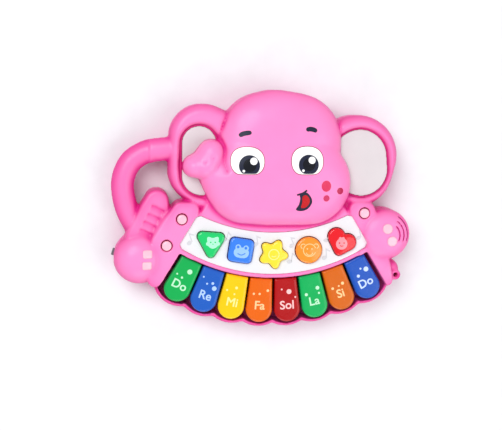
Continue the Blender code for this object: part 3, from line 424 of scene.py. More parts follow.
def eased(mesh, values, rounds=14):
    """Values kept on a mesh's points, averaged with their neighbours' again and again."""
    ends = np.empty(2 * len(mesh.edges), dtype=int)
    mesh.edges.foreach_get("vertices", ends)
    first, second = ends[0::2], ends[1::2]
    count = len(values)
    weight = 1 + np.bincount(first, minlength=count) + np.bincount(second, minlength=count)
    for _ in range(rounds):
        around = np.bincount(first, values[second], count) + np.bincount(second, values[first], count)
        values = (values + around) / weight
    return values


def mark_painted_shade(mesh, height):
    """Keep on the mesh, as painted shade, how far its height field lies under what is round it, and a painted
    shadow that grows towards the outline.
    """
    outline_shadow_depth, outline_shadow_reach = 1.9, 7.0
    # Painted shadow along the outline, deepest at the edge, added to the painted shade where the height field
    # dips.
    edge = outline_shadow_depth * np.exp(np.minimum(FOOTPRINT, 0.0) / outline_shadow_reach)
    depth = np.maximum(hollowness(height), 0.0) + edge
    spots = np.array([v.co[:2] for v in mesh.vertices]) / MM
    columns, rows = np.rint((spots - (PLAN.x[0, 0], PLAN.y[0, 0])) / PLAN_CELL).astype(int).T
    attribute = mesh.attributes.new("hollow", "FLOAT", "POINT")
    attribute.data.foreach_set("value", eased(mesh, depth[rows, columns]).astype(np.float32))


# Meshes


def placed(name, data):
    """A new object in the scene."""
    made = bpy.data.objects.new(name, data)
    bpy.context.scene.collection.objects.link(made)
    return made


def baked(holder):
    """The final mesh of an object, which is removed."""
    bpy.context.view_layer.update()
    mesh = bpy.data.meshes.new_from_object(holder.evaluated_get(bpy.context.evaluated_depsgraph_get()))
    bpy.data.objects.remove(holder)
    return mesh


@contextmanager
def editing(mesh):
    bm = bmesh.new()
    bm.from_mesh(mesh)
    yield bm
    bm.to_mesh(mesh)
    bm.free()


def finished(name, mesh, body, material, smooth_angle=None):
    """A mesh as a piece that rides on a CAD body."""
    piece = placed(name, mesh)
    mesh.materials.clear()
    mesh.materials.append(material)
    mesh.shade_smooth()
    if smooth_angle:
        mesh.set_sharp_from_angle(angle=math.radians(smooth_angle))
    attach(piece, body)
    return piece


def remeshed(name, mesh, voxel, passes):
    """The mesh with even faces all over, smoothed, as a new mesh."""
    piece = placed(name, mesh)
    remesh = piece.modifiers.new("even_faces", "REMESH")
    remesh.mode = "VOXEL"
    remesh.voxel_size = voxel * MM
    ease = piece.modifiers.new("ease", "SMOOTH")
    ease.factor = 0.5
    ease.iterations = passes
    return baked(piece)


def cut_box(mesh, centre, size, degrees):
    """Cut a box out of a closed mesh."""
    cutter = placed("cutter", bpy.data.meshes.new("cutter"))
    turn = Matrix.Rotation(math.radians(degrees), 4, "Z")
    stretch = Matrix.Diagonal((*(v * MM for v in size), 1.0))
    with editing(cutter.data) as bm:
        bmesh.ops.create_cube(bm, size=1.0)
        bm.transform(Matrix.Translation(Vector(centre) * MM) @ turn @ stretch)
    piece = placed("cut_piece", mesh)
    cut = piece.modifiers.new("cut", "BOOLEAN")
    cut.operation = "DIFFERENCE"
    cut.object = cutter
    result = baked(piece)
    bpy.data.objects.remove(cutter)
    return result


def opened(mesh, height):
    """The mesh without its flat face at the parting line, where it meets the other housing."""
    with editing(mesh) as bm:
        level = [f for f in bm.faces if abs(f.calc_center_median().z - height * MM) < 0.03 * MM]
        bmesh.ops.delete(bm, geom=[f for f in level if abs(f.normal.z) > 0.999], context="FACES")
    return mesh


def from_curve(name, outlines, low, high, bevel, segments=3):
    """A flat plate with round edges. The first outline is its edge and the others are holes."""
    curve = bpy.data.curves.new(name, "CURVE")
    curve.dimensions = "2D"
    curve.fill_mode = "BOTH"
    curve.extrude = ((high - low) / 2 - bevel) * MM
    curve.bevel_depth = bevel * MM
    curve.bevel_resolution = segments
    curve.offset = -bevel * MM
    for outline in outlines:
        spline = curve.splines.new("POLY")
        spline.points.add(len(outline) - 1)
        for point, spot in zip(spline.points, outline):
            point.co = (spot[0] * MM, spot[1] * MM, 0.0, 1.0)
        spline.use_cyclic_u = True
    mesh = baked(placed(name, curve))
    with editing(mesh) as bm:
        bmesh.ops.remove_doubles(bm, verts=bm.verts, dist=1e-6)
        bmesh.ops.recalc_face_normals(bm, faces=bm.faces)
        bmesh.ops.translate(bm, verts=bm.verts, vec=(0.0, 0.0, (low + high) / 2 * MM))
    return mesh


def lettering(name, words, size, spot, height, degrees):
    """Plain letters that lie on a level surface, centred on a spot."""
    text = bpy.data.curves.new(name, "FONT")
    text.body = words
    text.size = size * MM
    text.align_x = "CENTER"
    text.align_y = "CENTER"
    text.extrude = 0.05 * MM
    text.bevel_depth = 0.22 * MM
    text.bevel_resolution = 1
    text.resolution_u = 4
    mesh = baked(placed(name, text))
    turn = Matrix.Rotation(math.radians(degrees), 4, "Z")
    mesh.transform(Matrix.Translation(Vector((spot[0], spot[1], height)) * MM) @ turn)
    return mesh


def surface(mesh):
    return BVHTree.FromPolygons([v.co for v in mesh.vertices], [tuple(p.vertices) for p in mesh.polygons])


def skin(name, tree, outline, lift, depth, spacing):
    """A thin layer on a surface, inside an outline seen from above."""
    outline = [Vector(p) for p in outline]
    patch = Field(*span(outline), spacing)
    inner = patch.within(outline) < -0.45 * spacing
    points = outline + [Vector(p) for p in zip(patch.x[inner], patch.y[inner])]
    count = len(outline)
    edges = [(k, (k + 1) % count) for k in range(count)]
    spots, _, faces, *_ = delaunay_2d_cdt(points, edges, [], 1, 1e-5)
    heights = []
    for x, y in spots:
        hit = tree.ray_cast(Vector((x * MM, y * MM, 0.08)), Vector((0.0, 0.0, -1.0)))[0]
        heights.append(hit.z / MM)
    total = len(spots)
    corners = [(x * MM, y * MM, (h + lift) * MM) for (x, y), h in zip(spots, heights)]
    corners += [(x * MM, y * MM, (h - depth) * MM) for (x, y), h in zip(spots, heights)]
    edges = {(a, b) for face in faces for a, b in zip(face, face[1:] + face[:1])}
    walls = [(b, a, a + total, b + total) for a, b in sorted(edges) if (b, a) not in edges]
    under = [tuple(v + total for v in reversed(face)) for face in faces]
    mesh = bpy.data.meshes.new(name)
    mesh.from_pydata(corners, [], [tuple(face) for face in faces] + under + walls)
    with editing(mesh) as bm:
        bmesh.ops.recalc_face_normals(bm, faces=bm.faces)
    return mesh


def decal(name, tree, outline, lift, paint, body="housing", depth=0.3, spacing=1.0, sharp=50):
    """A thin layer on a surface, as a piece."""
    finished(name, skin(name, tree, outline, lift, depth, spacing), body, paint, sharp)


def turned(x, y, degrees, spots):
    """Spots given from a centre, turned round it."""
    c, s = math.cos(math.radians(degrees)), math.sin(math.radians(degrees))
    return [Vector((x + u * c - v * s, y + u * s + v * c)) for u, v in spots]


def circle(x, y, r, count=32, stretch=1.0, degrees=0.0):
    ring = [TAU * k / count for k in range(count)]
    return turned(x, y, degrees, [(r * math.cos(a), r * stretch * math.sin(a)) for a in ring])


def ribbon(route, widths):
    """The outline of a brush stroke along a route."""
    left, right = [], []
    for k, spot in enumerate(route):
        along = (route[min(k + 1, len(route) - 1)] - route[max(k - 1, 0)]).normalized()
        side = Vector((-along.y, along.x)) * widths[k] / 2
        left.append(spot + side)
        right.append(spot - side)
    return left + right[::-1]


# Materials


def linear(rgb):
    return tuple(v / 12.92 if v <= 0.04045 else ((v + 0.055) / 1.055) ** 2.4 for v in (c / 255 for c in rgb))


class Finish:
    """A material whose colour, roughness and surface vary over the object's own coordinates."""

    def __init__(self, name, rgb, roughness=0.35, metallic=0.0, coat=0.0):
        self.material = bpy.data.materials.new(name)
        self.material.use_nodes = True
        self.tree = self.material.node_tree
        self.shader = self.tree.nodes["Principled BSDF"].inputs
        settings = {"Metallic": metallic, "Roughness": roughness, "Specular IOR Level": 0.28}
        settings |= {"Coat Weight": coat, "Coat Roughness": 0.12}
        for key, value in settings.items():
            self.shader[key].default_value = value
        self.place = self.node("ShaderNodeTexCoord").outputs["Object"]
        light = linear(rgb)
        self.mixed(self.noise(60.0, 3.0), (*light, 1.0), (*(v * 0.9 for v in light), 1.0))

    def node(self, kind, inputs=None, **settings):
        """A new node. Each input is a number, a colour or another node's output."""
        made = self.tree.nodes.new(kind)
        for key, value in settings.items():
            setattr(made, key, value)
        for key, value in (inputs or {}).items():
            if isinstance(value, bpy.types.NodeSocket):
                self.tree.links.new(value, made.inputs[key])
            else:
                made.inputs[key].default_value = value
        return made

    def noise(self, scale, detail):
        made = self.node("ShaderNodeTexNoise", {"Vector": self.place, "Scale": scale, "Detail": detail})
        return made.outputs["Fac"]

    def mixed(self, factor, under, over):
        mix = self.node("ShaderNodeMix", {"Factor": factor, "A": under, "B": over}, data_type="RGBA")
        self.colour = mix.outputs["Result"]
        self.tree.links.new(self.colour, self.shader["Base Color"])
        return self

    def over(self, factor, rgb):
        return self.mixed(factor, self.colour, (*linear(rgb), 1.0))

    def range(self, value, low, high, start, end):
        inputs = {"Value": value, "From Min": low, "From Max": high, "To Min": start, "To Max": end}
        return self.node("ShaderNodeMapRange", inputs, interpolation_type="SMOOTHSTEP").outputs["Result"]

    def painted_crease_shade(self, rgb, low=0.46, high=0.5):
        """Painted shade: a deeper colour where the surface is concave, by its pointiness."""
        pointed = self.node("ShaderNodeNewGeometry").outputs["Pointiness"]
        return self.over(self.range(pointed, low, high, 1.0, 0.0), rgb)

    def hollows(self, rgb, low=0.25, high=2.6, strength=0.85):
        """Painted shade: a deeper colour where the surface lies under what is round it, and a painted shadow
        near the outline.
        """
        kept = self.node("ShaderNodeAttribute", attribute_name="hollow")
        return self.over(self.range(kept.outputs["Fac"], low, high, 0.0, strength), rgb)

    def painted_low_shade(self, rgb, low, high):
        """Painted shade: a deeper colour low down, in millimetres over the floor."""
        split = self.node("ShaderNodeSeparateXYZ", {"Vector": self.place})
        return self.over(self.range(split.outputs["Z"], low * MM, high * MM, 1.0, 0.0), rgb)

    def grain(self, scale=900.0, strength=0.08):
        """A fine moulded surface, with a roughness that varies over larger spots."""
        relief = {"Strength": strength, "Distance": 0.1 * MM, "Height": self.noise(scale, 4.0)}
        self.tree.links.new(self.node("ShaderNodeBump", relief).outputs["Normal"], self.shader["Normal"])
        base, spread = self.shader["Roughness"].default_value, 0.06
        worn = self.range(self.noise(45.0, 5.0), 0.3, 0.7, base - spread, base + spread)
        self.tree.links.new(worn, self.shader["Roughness"])
        return self

    def bands(self, axis, scale, rgb, strength=1.0, low=0.4, high=0.6):
        wave = self.node("ShaderNodeTexWave", {"Vector": self.place, "Scale": scale}, bands_direction=axis)
        return self.over(self.range(wave.outputs["Fac"], low, high, 0.0, strength), rgb)

    def cells(self, scale, rgb, strength=0.6):
        inputs = {"Vector": self.place, "Scale": scale}
        edges = self.node("ShaderNodeTexVoronoi", inputs, feature="DISTANCE_TO_EDGE").outputs["Distance"]
        return self.over(self.range(edges, 0.02, 0.06, strength, 0.0), rgb)


def plastic(name, rgb, roughness=0.32, coat=0.15, crease=None):
    made = Finish(name, rgb, roughness, coat=coat)
    # Painted shade: a deeper colour in creases, when one is given.
    if crease:
        made.painted_crease_shade(crease)
    return made.grain().material


# The two deeper pinks are painted shade: the front housing gets them in its creases, low down on its walls,
# in its dips and near its outline.
PINK, PINK_SHADE, PINK_HOLLOW_SHADE = (255, 136, 198), (226, 40, 140), (214, 10, 132)
housing = Finish("pink_plastic_with_painted_shade", PINK, 0.36, coat=0.1)
housing.painted_crease_shade(PINK_SHADE, 0.42, 0.495).painted_low_shade(PINK_SHADE, 17.0, 33.0).hollows(PINK_HOLLOW_SHADE)
FRONT_PINK_SHADED = housing.grain().material
# The rear housing's pink is the toy's pink deepened all over to match the painted shade on the front
# housing's walls, and its creases get painted shade too.
rear = Finish("rear_pink_shaded_plastic", (238, 88, 168), 0.42, coat=0.05)
REAR_PINK_SHADED = rear.painted_crease_shade(PINK_SHADE, 0.42, 0.49).grain(strength=0.12).material
SLOT_SHADE = plastic("speaker_slot_shade", (176, 22, 108), 0.6, 0.0)
# The pale pink gets painted shade in its creases.
PALE_PINK = plastic("pale_pink_plastic", (255, 190, 208), 0.28, 0.3, (240, 120, 170))
MAGENTA = plastic("magenta_edge_paint", (214, 24, 122), 0.4)
PEARL = plastic("pearl_grey_plastic", (212, 205, 208), 0.38, 0.15)
WHITE = plastic("white_panel_plastic", (228, 228, 232), 0.3, 0.2)
RELIEF = plastic("panel_relief_plastic", (206, 206, 212), 0.35, 0.1)
EYE_WHITE = plastic("eye_white_paint", (250, 250, 250), 0.25, 0.3)
EYE_LINE = plastic("eye_line_paint", (150, 20, 60), 0.35)
NAVY = plastic("navy_paint", (24, 30, 54), 0.4, 0.0)
PUPIL = plastic("pupil_paint", (6, 10, 22), 0.3, 0.1)
TONGUE = plastic("tongue_paint", (190, 10, 20), 0.3, 0.2)
SPOT_PAINTS = [
    plastic(f"cheek_spot_paint_{k}", rgb, 0.32, 0.2)
    for k, rgb in enumerate(((212, 28, 84), (185, 10, 76), (198, 18, 88)), 1)
]

# The housings


def front_shell():
    height = front_height()
    pocket = PLAN.within(panel_outline(0.3))
    height = np.where(pocket < 0, np.minimum(height, PANEL_TOP - PANEL_THICK - 0.3), height)
    for outline in SHAPES.values():
        height = np.where(PLAN.within(outline(1.0)) < 0, CAP_WELL_FLOOR, height)
    for spot in FUNCTION_SPOTS:
        height = np.where(PLAN.spot(*spot) < FUNCTION_WELL_RADIUS, FUNCTION_WELL_FLOOR, height)
    ring = 29.0 - 1.6 * np.clip(np.abs(EYELET_AWAY - 3.2) - 0.5, 0, 1)
    height = np.where(EYELET_AWAY < EYELET_RADIUS, np.maximum(height, ring), height)
    under = np.where(BAY_AREA < 0, BAY_CEILING, PARTING + SPLIT_GAP)
    slab = PLAN.slab("front", SHELL_AREA & (OPENING > 0), np.maximum(height, 18.2), under)
    mesh = opened(remeshed("front", slab, FRONT_VOXEL, 3), PARTING + SPLIT_GAP)
    mark_painted_shade(mesh, front_height())
    return mesh


def rear_shell():
    nearly_split = PARTING - 1.0
    edge = 5.0
    core = body_plan()
    t = np.clip(-core / edge, 0, 1)
    low = np.where(core < 0, FOOT_HEIGHT + edge * (1 - np.sqrt(1 - (1 - t) ** 2)), nearly_split)
    tube = HANDLE_HEIGHT - np.sqrt(np.maximum(HANDLE_RADIUS**2 - HANDLE**2, 0))
    low = np.minimum(low, np.where(HANDLE < HANDLE_RADIUS, tube, nearly_split))
    low = np.where(EYELET_AWAY < EYELET_RADIUS, np.minimum(low, 3.5), low)
    x, y, length, width = DOOR
    low = np.where(PLAN.box(x, y, length + 0.6, width + 0.6) < 0, DOOR_SEAT, low)
    for spot in REST_FEET:
        away = PLAN.spot(*spot)
        low = np.where(away < REST_FOOT_RADIUS, 0.5 * np.clip(away - REST_FOOT_RADIUS + 1, 0, 1) ** 2, low)
    for spot in SCREW_SPOTS:
        low = np.where(PLAN.spot(*spot) < SCREW_WELL_RADIUS, SCREW_SHOULDER, low)
    top = np.where(OPENING < 0.8, FLOOR_TOP, PARTING - SPLIT_GAP)
    slab = PLAN.slab("rear", SHELL_AREA & (BAY_AREA > 0), top, np.minimum(low, top - 1.5))
    mesh = remeshed("rear", slab, REAR_VOXEL, 3)
    angle = math.radians(SWITCH_ANGLE)
    x, y, radius = FOOT_LEFT
    wall = (x + radius * math.cos(angle), y + radius * math.sin(angle), SWITCH_HEIGHT)
    return opened(cut_box(mesh, wall, SWITCH_SLOT, SWITCH_ANGLE), PARTING - SPLIT_GAP)


# The shape buttons


def triangle(grow=0.0):
    return hull([(-52.6, -21.6, 4.4), (-37.8, -22.8, 4.4), (-45.4, -36.0, 3.9)], -grow, 60)


def square(grow=0.0):
    pegs = turned(-19.6, -33.9, -9, ((-6.2, -6.2), (6.2, -6.2), (6.2, 6.2), (-6.2, 6.2)))
    return hull([(x, y, 4.4) for x, y in pegs], -grow, 60)


def star(grow=0.0):
    points = []
    for k in range(80):
        turn = TAU * k / 80
        radius = 11.0 + 2.0 * math.cos(5 * turn) + grow
        angle = math.radians(64) + turn
        points.append(Vector((8.6 + radius * math.cos(angle), -37.3 + radius * math.sin(angle))))
    return points


def disc(grow=0.0):
    return circle(39.3, -34.1, 11.6 + grow, 60)


def far_reach(circles, angle):
    """How far some circles reach from the origin in one direction."""
    c, s = math.cos(angle), math.sin(angle)
    best = 0.0
    for x, y, r in circles:
        along = x * c + y * s
        inside = r * r - (x * x + y * y - along * along)
        if inside >= 0:
            best = max(best, along + math.sqrt(inside))
    return best


def blob(x, y, circles, count=60, degrees=0.0):
    """The outline round some circles given from a centre, as seen from it."""
    turn = math.radians(degrees)
    points = []
    for k in range(count):
        angle = TAU * k / count
        radius = far_reach(circles, angle)
        points.append(Vector((x + radius * math.cos(angle + turn), y + radius * math.sin(angle + turn))))
    return points


def heart(grow=0.0):
    lobes = []
    foot_x, foot_y, foot_radius = -1.8, -6.5, 4.2
    for x, y, r in ((-4.3, 6.0, 7.6), (5.7, 1.0, 7.4)):
        for t in (k / 8 for k in range(9)):
            lobes.append((x + (foot_x - x) * t, y + (foot_y - y) * t, r + (foot_radius - r) * t + grow))
    return blob(67.8, -28.5, lobes, 72)


SHAPES = {"triangle": triangle, "square": square, "star": star, "circle": disc, "heart": heart}
SHAPE_COLOURS = {
    "triangle": ((10, 200, 105), (170, 245, 205)), "square": ((50, 125, 235), (150, 195, 255)),
    "star": ((255, 222, 50), (255, 238, 140)), "circle": ((255, 145, 35), (255, 205, 140)),
    "heart": ((225, 5, 25), (255, 150, 160)),
}


def button_cap(name, points):
    """A glossy pillow: straight sides, a round edge and a gently domed top."""
    x, y, *_ = span(points)
    patch = Field(x, y, 15.0, 15.0, 0.35)
    away = patch.within(points)
    crown = 0.9 * np.clip(1 - patch.spot(x, y) / 14.0, 0, 1)
    top = BUTTON_TOP - 2.4 + dome(away, 1.8, 0.0, 2.2) + crown
    return remeshed(name, patch.slab(name, away < 0, top, BUTTON_FOOT), 0.4, 4)


def pair(x, y, apart, r, count=14):
    return [circle(x - apart, y, r, count), circle(x + apart, y, r, count)]


def smile(x, y, step, depth, width, steps=6):
    """A curved stroke that hangs from its left end."""
    route = [Vector((x + step * k, y - depth * math.sin(math.pi * k / steps))) for k in range(steps + 1)]
    return ribbon(route, [width] * len(route))


def bend(x, y, r, start, end, steps):
    """Points along an arc, between two angles in degrees."""
    angles = [math.radians(start + (end - start) * k / steps) for k in range(steps + 1)]
    return [Vector((x + r * math.cos(a), y + r * math.sin(a))) for a in angles]


def arc(x, y, r, start, end, width, steps=30):
    return ribbon(bend(x, y, r, start, end, steps), [width] * (steps + 1))


def icons(name):
    """The simple drawings on the caps: pale shapes, and marks on them in the cap's own colour."""
    if name == "triangle":
        x, y = -43.8, -26.5
        lumps = [(0, -0.5, 4.6), (-3.6, 3.6, 1.4), (3.6, 3.6, 1.4)]
        lumps += [(-2.6, 2.2, 2.4), (2.6, 2.2, 2.4), (4.4, -1, 1.6), (-4.4, -1, 1.6)]
        return [blob(x, y, lumps)], [*pair(x, y + 0.3, 1.9, 0.65), circle(x, y - 1.3, 0.6, 14, 0.7)]
    if name == "square":
        x, y = -19.3, -34.3
        lumps = [(0, -1.2, 4.6), (-2.2, -1.2, 4.4), (2.2, -1.2, 4.4), (-3.4, 3.3, 2.4), (3.4, 3.3, 2.4)]
        eyes = [circle(x - 3.0, y + 3.9, 1.2, 18), circle(x + 3.7, y + 2.8, 1.2, 18)]
        return [blob(x, y, lumps, degrees=-9)], [*eyes, smile(x - 3.4, y - 1.6, 1.1, 1.5, 0.7)]
    if name == "star":
        return [arc(8.6, -37.3, 4.4, 0, 355.234, 0.9, 40), smile(6.6, -38.4, 1.0, 0.8, 0.8, 4)], []
    if name == "circle":
        x, y = 39.6, -33.8
        face_arcs = (
            (0, 0, 5.4, 20, 340), (-5.6, 3.4, 2.0, 40, 250),
            (5.6, 3.4, 2.0, -70, 140), (0, -1.6, 2.8, 190, 350),
        )
        lines = [arc(x + u, y + v, r, start, end, 0.75) for u, v, r, start, end in face_arcs]
        return lines + pair(x, y + 1.2, 2.0, 0.7), []
    x, y = 67.6, -28.0
    head = blob(x, y, [(0, -0.6, 5.0), (-1.2, 4.2, 1.3), (1.2, 4.2, 1.3)])
    return [head], [*pair(x, y + 0.2, 2.0, 0.65), smile(x - 1.5, y - 1.9, 0.5, 0.7, 0.6)]


def darker(rgb, share):
    return tuple(int(v * share) for v in rgb)


def shape_buttons():
    for name, outline in SHAPES.items():
        rgb, pale = SHAPE_COLOURS[name]
        body = f"button_{name}"
        # Painted shade: each cap is darker in its creases.
        gloss = Finish(f"{name}_button_plastic", rgb, 0.16, coat=0.6).painted_crease_shade(darker(rgb, 0.75))
        cap_paint = gloss.grain(600.0, 0.05).material
        pale_paint = plastic(f"{name}_icon_paint", pale, 0.25, 0.3)
        mesh = button_cap(f"{name}_cap", outline())
        tree = surface(mesh)
        cap = finished(f"{name}_cap", mesh, body, cap_paint)
        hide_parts(body)
        shapes, marks = icons(name)
        layers = [(shape, 0.2, pale_paint) for shape in shapes] + [(mark, 0.32, cap_paint) for mark in marks]
        for k, (shape, lift, paint) in enumerate(layers, 1):
            decal(f"{name}_icon_{k}", tree, shape, lift, paint, body, spacing=0.8, sharp=40)


# The keys

KEY_COLOURS = (
    ("green", (0, 170, 78), (190, 240, 205)), ("blue", (26, 90, 188), (175, 205, 250)),
    ("yellow", (250, 198, 0), (255, 238, 150)), ("orange", (226, 98, 0), (255, 205, 150)),
    ("red", (172, 0, 8), (250, 200, 200)), ("light_green", (0, 172, 86), (190, 240, 205)),
    ("amber", (208, 98, 0), (255, 210, 150)), ("deep_blue", (22, 82, 184), (200, 220, 255)),
)
NOTE_NAMES = ("Do", "Re", "Mi", "Fa", "Sol", "La", "Si", "Do")
KEY_DOTS = (
    ((2.9, 14.2, 2.2), (-0.9, 6.9, 1.0), (-6.1, 8.1, 0.8)),
    ((5.4, 8.3, 2.0), (2.7, 12.1, 1.2), (-1.9, 10.4, 0.9), (-6.6, 15.2, 0.8)),
    ((-6.5, 10.0, 0.9), (1.2, 13.3, 1.2), (0.5, 7.6, 0.8)),
    ((-5.8, 10.3, 1.0), (-0.7, 10.4, 1.0), (6.2, 13.7, 1.2)),
    ((2.3, 12.0, 2.2), (-4.0, 14.4, 0.8), (7.6, 6.8, 0.8)),
    ((4.9, 11.2, 1.7), (-5.8, 7.2, 1.4), (5.4, 6.4, 1.0)),
    ((4.4, 8.3, 1.4), (-5.3, 6.6, 1.2), (0.5, 7.0, 0.8)),
    ((5.3, 10.9, 2.2), (1.1, 13.4, 0.9), (-3.4, 8.3, 1.4)),
)
NAME_RADIUS = 180.0


def axes(degrees):
    """The directions across a key and towards the fan centre."""
    turn = math.radians(degrees)
    return Vector((math.cos(turn), math.sin(turn))), Vector((-math.sin(turn), math.cos(turn)))


def key_outline(degrees):
    across, up = axes(degrees)
    ends = np.linspace(0.05, math.pi - 0.05, 33)
    tip = [(KEY_TIP_RADIUS * math.cos(a), KEY_TIP + KEY_TIP_RADIUS * math.sin(a)) for a in ends]
    back = [(-KEY_BACK_HALF, KEY_BACK), (KEY_BACK_HALF, KEY_BACK)]
    return [FAN + across * u - up * v for u, v in tip + back]


def keys():
    for k, (degrees, (word, rgb, pale)) in enumerate(zip(KEY_ANGLES, KEY_COLOURS)):
        body = f"key_{k + 1}"
        paint = Finish(f"{word}_key_plastic", rgb, 0.28, coat=0.15)
        # Painted shade: each key is darker in its creases and darker low down on its sides.
        paint.painted_crease_shade(darker(rgb, 0.7)).painted_low_shade(darker(rgb, 0.6), 18.0, 27.0).grain(700.0, 0.06)
        pale_paint = plastic(f"{word}_key_print", pale, 0.3, 0.2)
        patch = Field(*fan_point(176.0, degrees), 24.0, 24.0, 0.4)
        away = patch.within(key_outline(degrees))
        top = KEY_TOP - 2.2 + dome(away, 2.2, 0.0, 2.6)
        slab = patch.slab(body, away < 0, top, KEY_SKIRT)
        key = finished(f"{word}_key", remeshed(body, slab, 0.5, 3), body, paint.material)
        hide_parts(body)
        middle = fan_point(NAME_RADIUS, degrees)
        name = f"{word}_key_name"
        letters = lettering(name, NOTE_NAMES[k], 10.5, middle, KEY_TOP - 0.02, degrees)
        finished(name, letters, body, pale_paint, 40)
        across, up = axes(degrees)
        for j, (u, v, r) in enumerate(KEY_DOTS[k], 1):
            dot = middle + across * u + up * v
            name = f"{word}_key_dot_{j}"
            mesh = from_curve(name, [circle(*dot, r, 24)], KEY_TOP - 0.2, KEY_TOP + 0.18, 0.12, 2)
            finished(name, mesh, body, pale_paint, 40)


# The panel, the ear inlays and the small raised details


PANEL_NOTES = (
    (-63.4, -25.0, 20, 1.0), (-33.0, -22.5, -15, 0.9), (-6.5, -27.0, 10, 0.9), (23.0, -42.0, -10, 1.0),
    (24.5, -28.5, 25, 0.9), (53.5, -39.0, 5, 1.0), (54.5, -24.0, -20, 0.9), (83.4, -22.0, 15, 0.9),
)
NOTE_STEM = ((2.0, -2.4), (2.0, 4.2), (5.0, 2.6), (5.2, 3.6), (1.2, 6.2), (1.2, -0.8))


def panel():
    holes = [outline(0.45) for outline in SHAPES.values()]
    mesh = from_curve("white_panel", [panel_outline(-0.1), *holes], PANEL_TOP - PANEL_THICK, PANEL_TOP, 0.4)
    plate = finished("white_panel", mesh, "housing", WHITE, 35)
    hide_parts("button_panel")
    for k, (x, y, degrees, size) in enumerate(PANEL_NOTES, 1):
        stem = turned(x, y, degrees, [(u * size, v * size) for u, v in NOTE_STEM])
        head = circle(x - 0.2 * size, y - 2.2 * size, 2.3 * size, 24, 0.75, degrees + 20)
        for part, outline in (("head", head), ("stem", stem)):
            name = f"panel_note_{part}_{k}"
            mesh = from_curve(name, [outline], PANEL_TOP - 0.2, PANEL_TOP + 0.22, 0.1, 2)
            finished(name, mesh, "housing", RELIEF, 40)


def domed_plate(name, points, low, high):
    """A thin plate with a round edge that swells a little towards its middle."""
    edge, swell, cell = 0.8, 0.5, 0.6
    x, y, half_x, half_y = span(points)
    patch = Field(x, y, half_x + 1, half_y + 1, cell)
    away = patch.within(points)
    top = high - edge + dome(away, edge, 0.0, 1.2) + swell * (1 - np.exp(np.minimum(away, 0) / 8.0))
    return remeshed(name, patch.slab(name, away < 0, top, low), 0.55, 3)


def ear_inlays():
    low = INLAY_FLOOR + 0.1
    for side, circles in (("left", INLAY_LEFT), ("right", INLAY_RIGHT)):
        name = f"{side}_ear_outline"
        rim = from_curve(name, [hull(circles, 0.25), hull(circles, 1.1)], low, INLAY_TOP + 0.1, 0.2, 2)
        finished(name, rim, "housing", MAGENTA, 40)
        name = f"{side}_ear_inlay"
        inlay = finished(name, domed_plate(name, hull(circles, 1.15), low, INLAY_TOP), "housing", PEARL)
        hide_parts(f"ear_panel_{side}")


def round_button(name, x, y, radius, low, high):
    patch = Field(x, y, radius + 0.6, radius + 0.6, 0.25)
    away = patch.spot(x, y) - radius
    top = high - 1.6 + dome(away, 1.6, 0.0, radius, 2.6)
    return remeshed(name, patch.slab(name, away < 0, top, low), 0.3, 3)


FOOT_SPOTS = ((107.0, -15.3), (111.3, -26.2))
TOES = ((-99.0, -35.8), (-99.5, -45.6))


def small_details(tree):
    x, y = FOOT_RIGHT[:2]
    # Painted shade: a dark layer laid in each speaker groove.
    for k, (radius, start, end) in enumerate(SPEAKER_SLOTS, 1):
        spine = bend(x, y, radius, start + 4, end - 4, 24)
        widths = [1.1 * min(1.0, 0.35 + j / 3, 0.35 + (24 - j) / 3) for j in range(25)]
        decal(f"speaker_slot_{k}", tree, ribbon(spine, widths), 0.06, SLOT_SHADE, depth=0.4, spacing=0.6)
    for k, (x, y) in enumerate(FUNCTION_SPOTS, 1):
        mesh = round_button(f"function_cap_{k}", x, y, 4.2, 28.8, 34.0)
        cap = finished(f"function_cap_{k}", mesh, f"function_button_{k}", PALE_PINK)
        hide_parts(f"function_button_{k}")
    raised = {"depth": 0.5, "spacing": 0.8, "sharp": None}
    for k, (x, y) in enumerate(FOOT_SPOTS, 1):
        decal(f"foot_spot_{k}", tree, circle(x, y, 4.3, 36), 0.7, PALE_PINK, **raised)
    for k, (x, y) in enumerate(TOES, 1):
        pegs = [(x + u, y + v, 1.6) for u, v in ((-2.3, -1.8), (2.3, -1.8), (2.3, 1.8), (-2.3, 1.8))]
        decal(f"toe_{k}", tree, hull(pegs, 0.0, 40), 0.6, PALE_PINK, **raised)


# The face

EYES = {
    "left": ((-16.3, 43.2), (13.9, 12.0), 32.7, (-14.8, 39.8, 8.8), (-11.2, 43.6, 3.1), (-19.6, 35.4, 1.1)),
    "right": ((34.2, 43.6), (13.4, 12.2), 32.6, (35.2, 40.6, 8.5), (38.0, 44.5, 3.0), (30.6, 35.8, 1.1)),
}
BROWS = {
    "left": ((-23.2, 64.2), (-20.0, 66.0), (-16.5, 66.8), (-12.9, 67.2)),
    "right": ((33.0, 69.6), (36.2, 70.4), (39.4, 69.9), (42.4, 68.5)),
}
MOUTH = (
    (28.0, 15.8), (28.6, 12.0), (27.6, 7.0), (25.4, 2.6), (30.0, 1.4),
    (35.2, 3.2), (38.6, 8.0), (38.2, 12.5), (34.6, 17.0), (31.5, 16.9),
)
TONGUE_EDGE = ((30.6, 13.8), (30.4, 9.0), (29.6, 4.4), (33.6, 4.6), (36.6, 8.4), (36.2, 12.4), (33.6, 15.0))
MOUTH_CORNER = ((25.8, 15.2), (28.6, 16.0), (31.6, 17.2), (34.2, 19.2))
CHEEK_SPOTS = ((50.8, 22.6, 4.1, 1.15), (63.4, 18.2, 2.9, 1.0), (51.2, 12.2, 2.7, 1.0))


def soft_floor(value, floor, ease):
    """The value, eased so that it never falls under a floor."""
    over = (value - floor) / ease
    return value if over > 30 else floor + ease * math.log1p(math.exp(over))


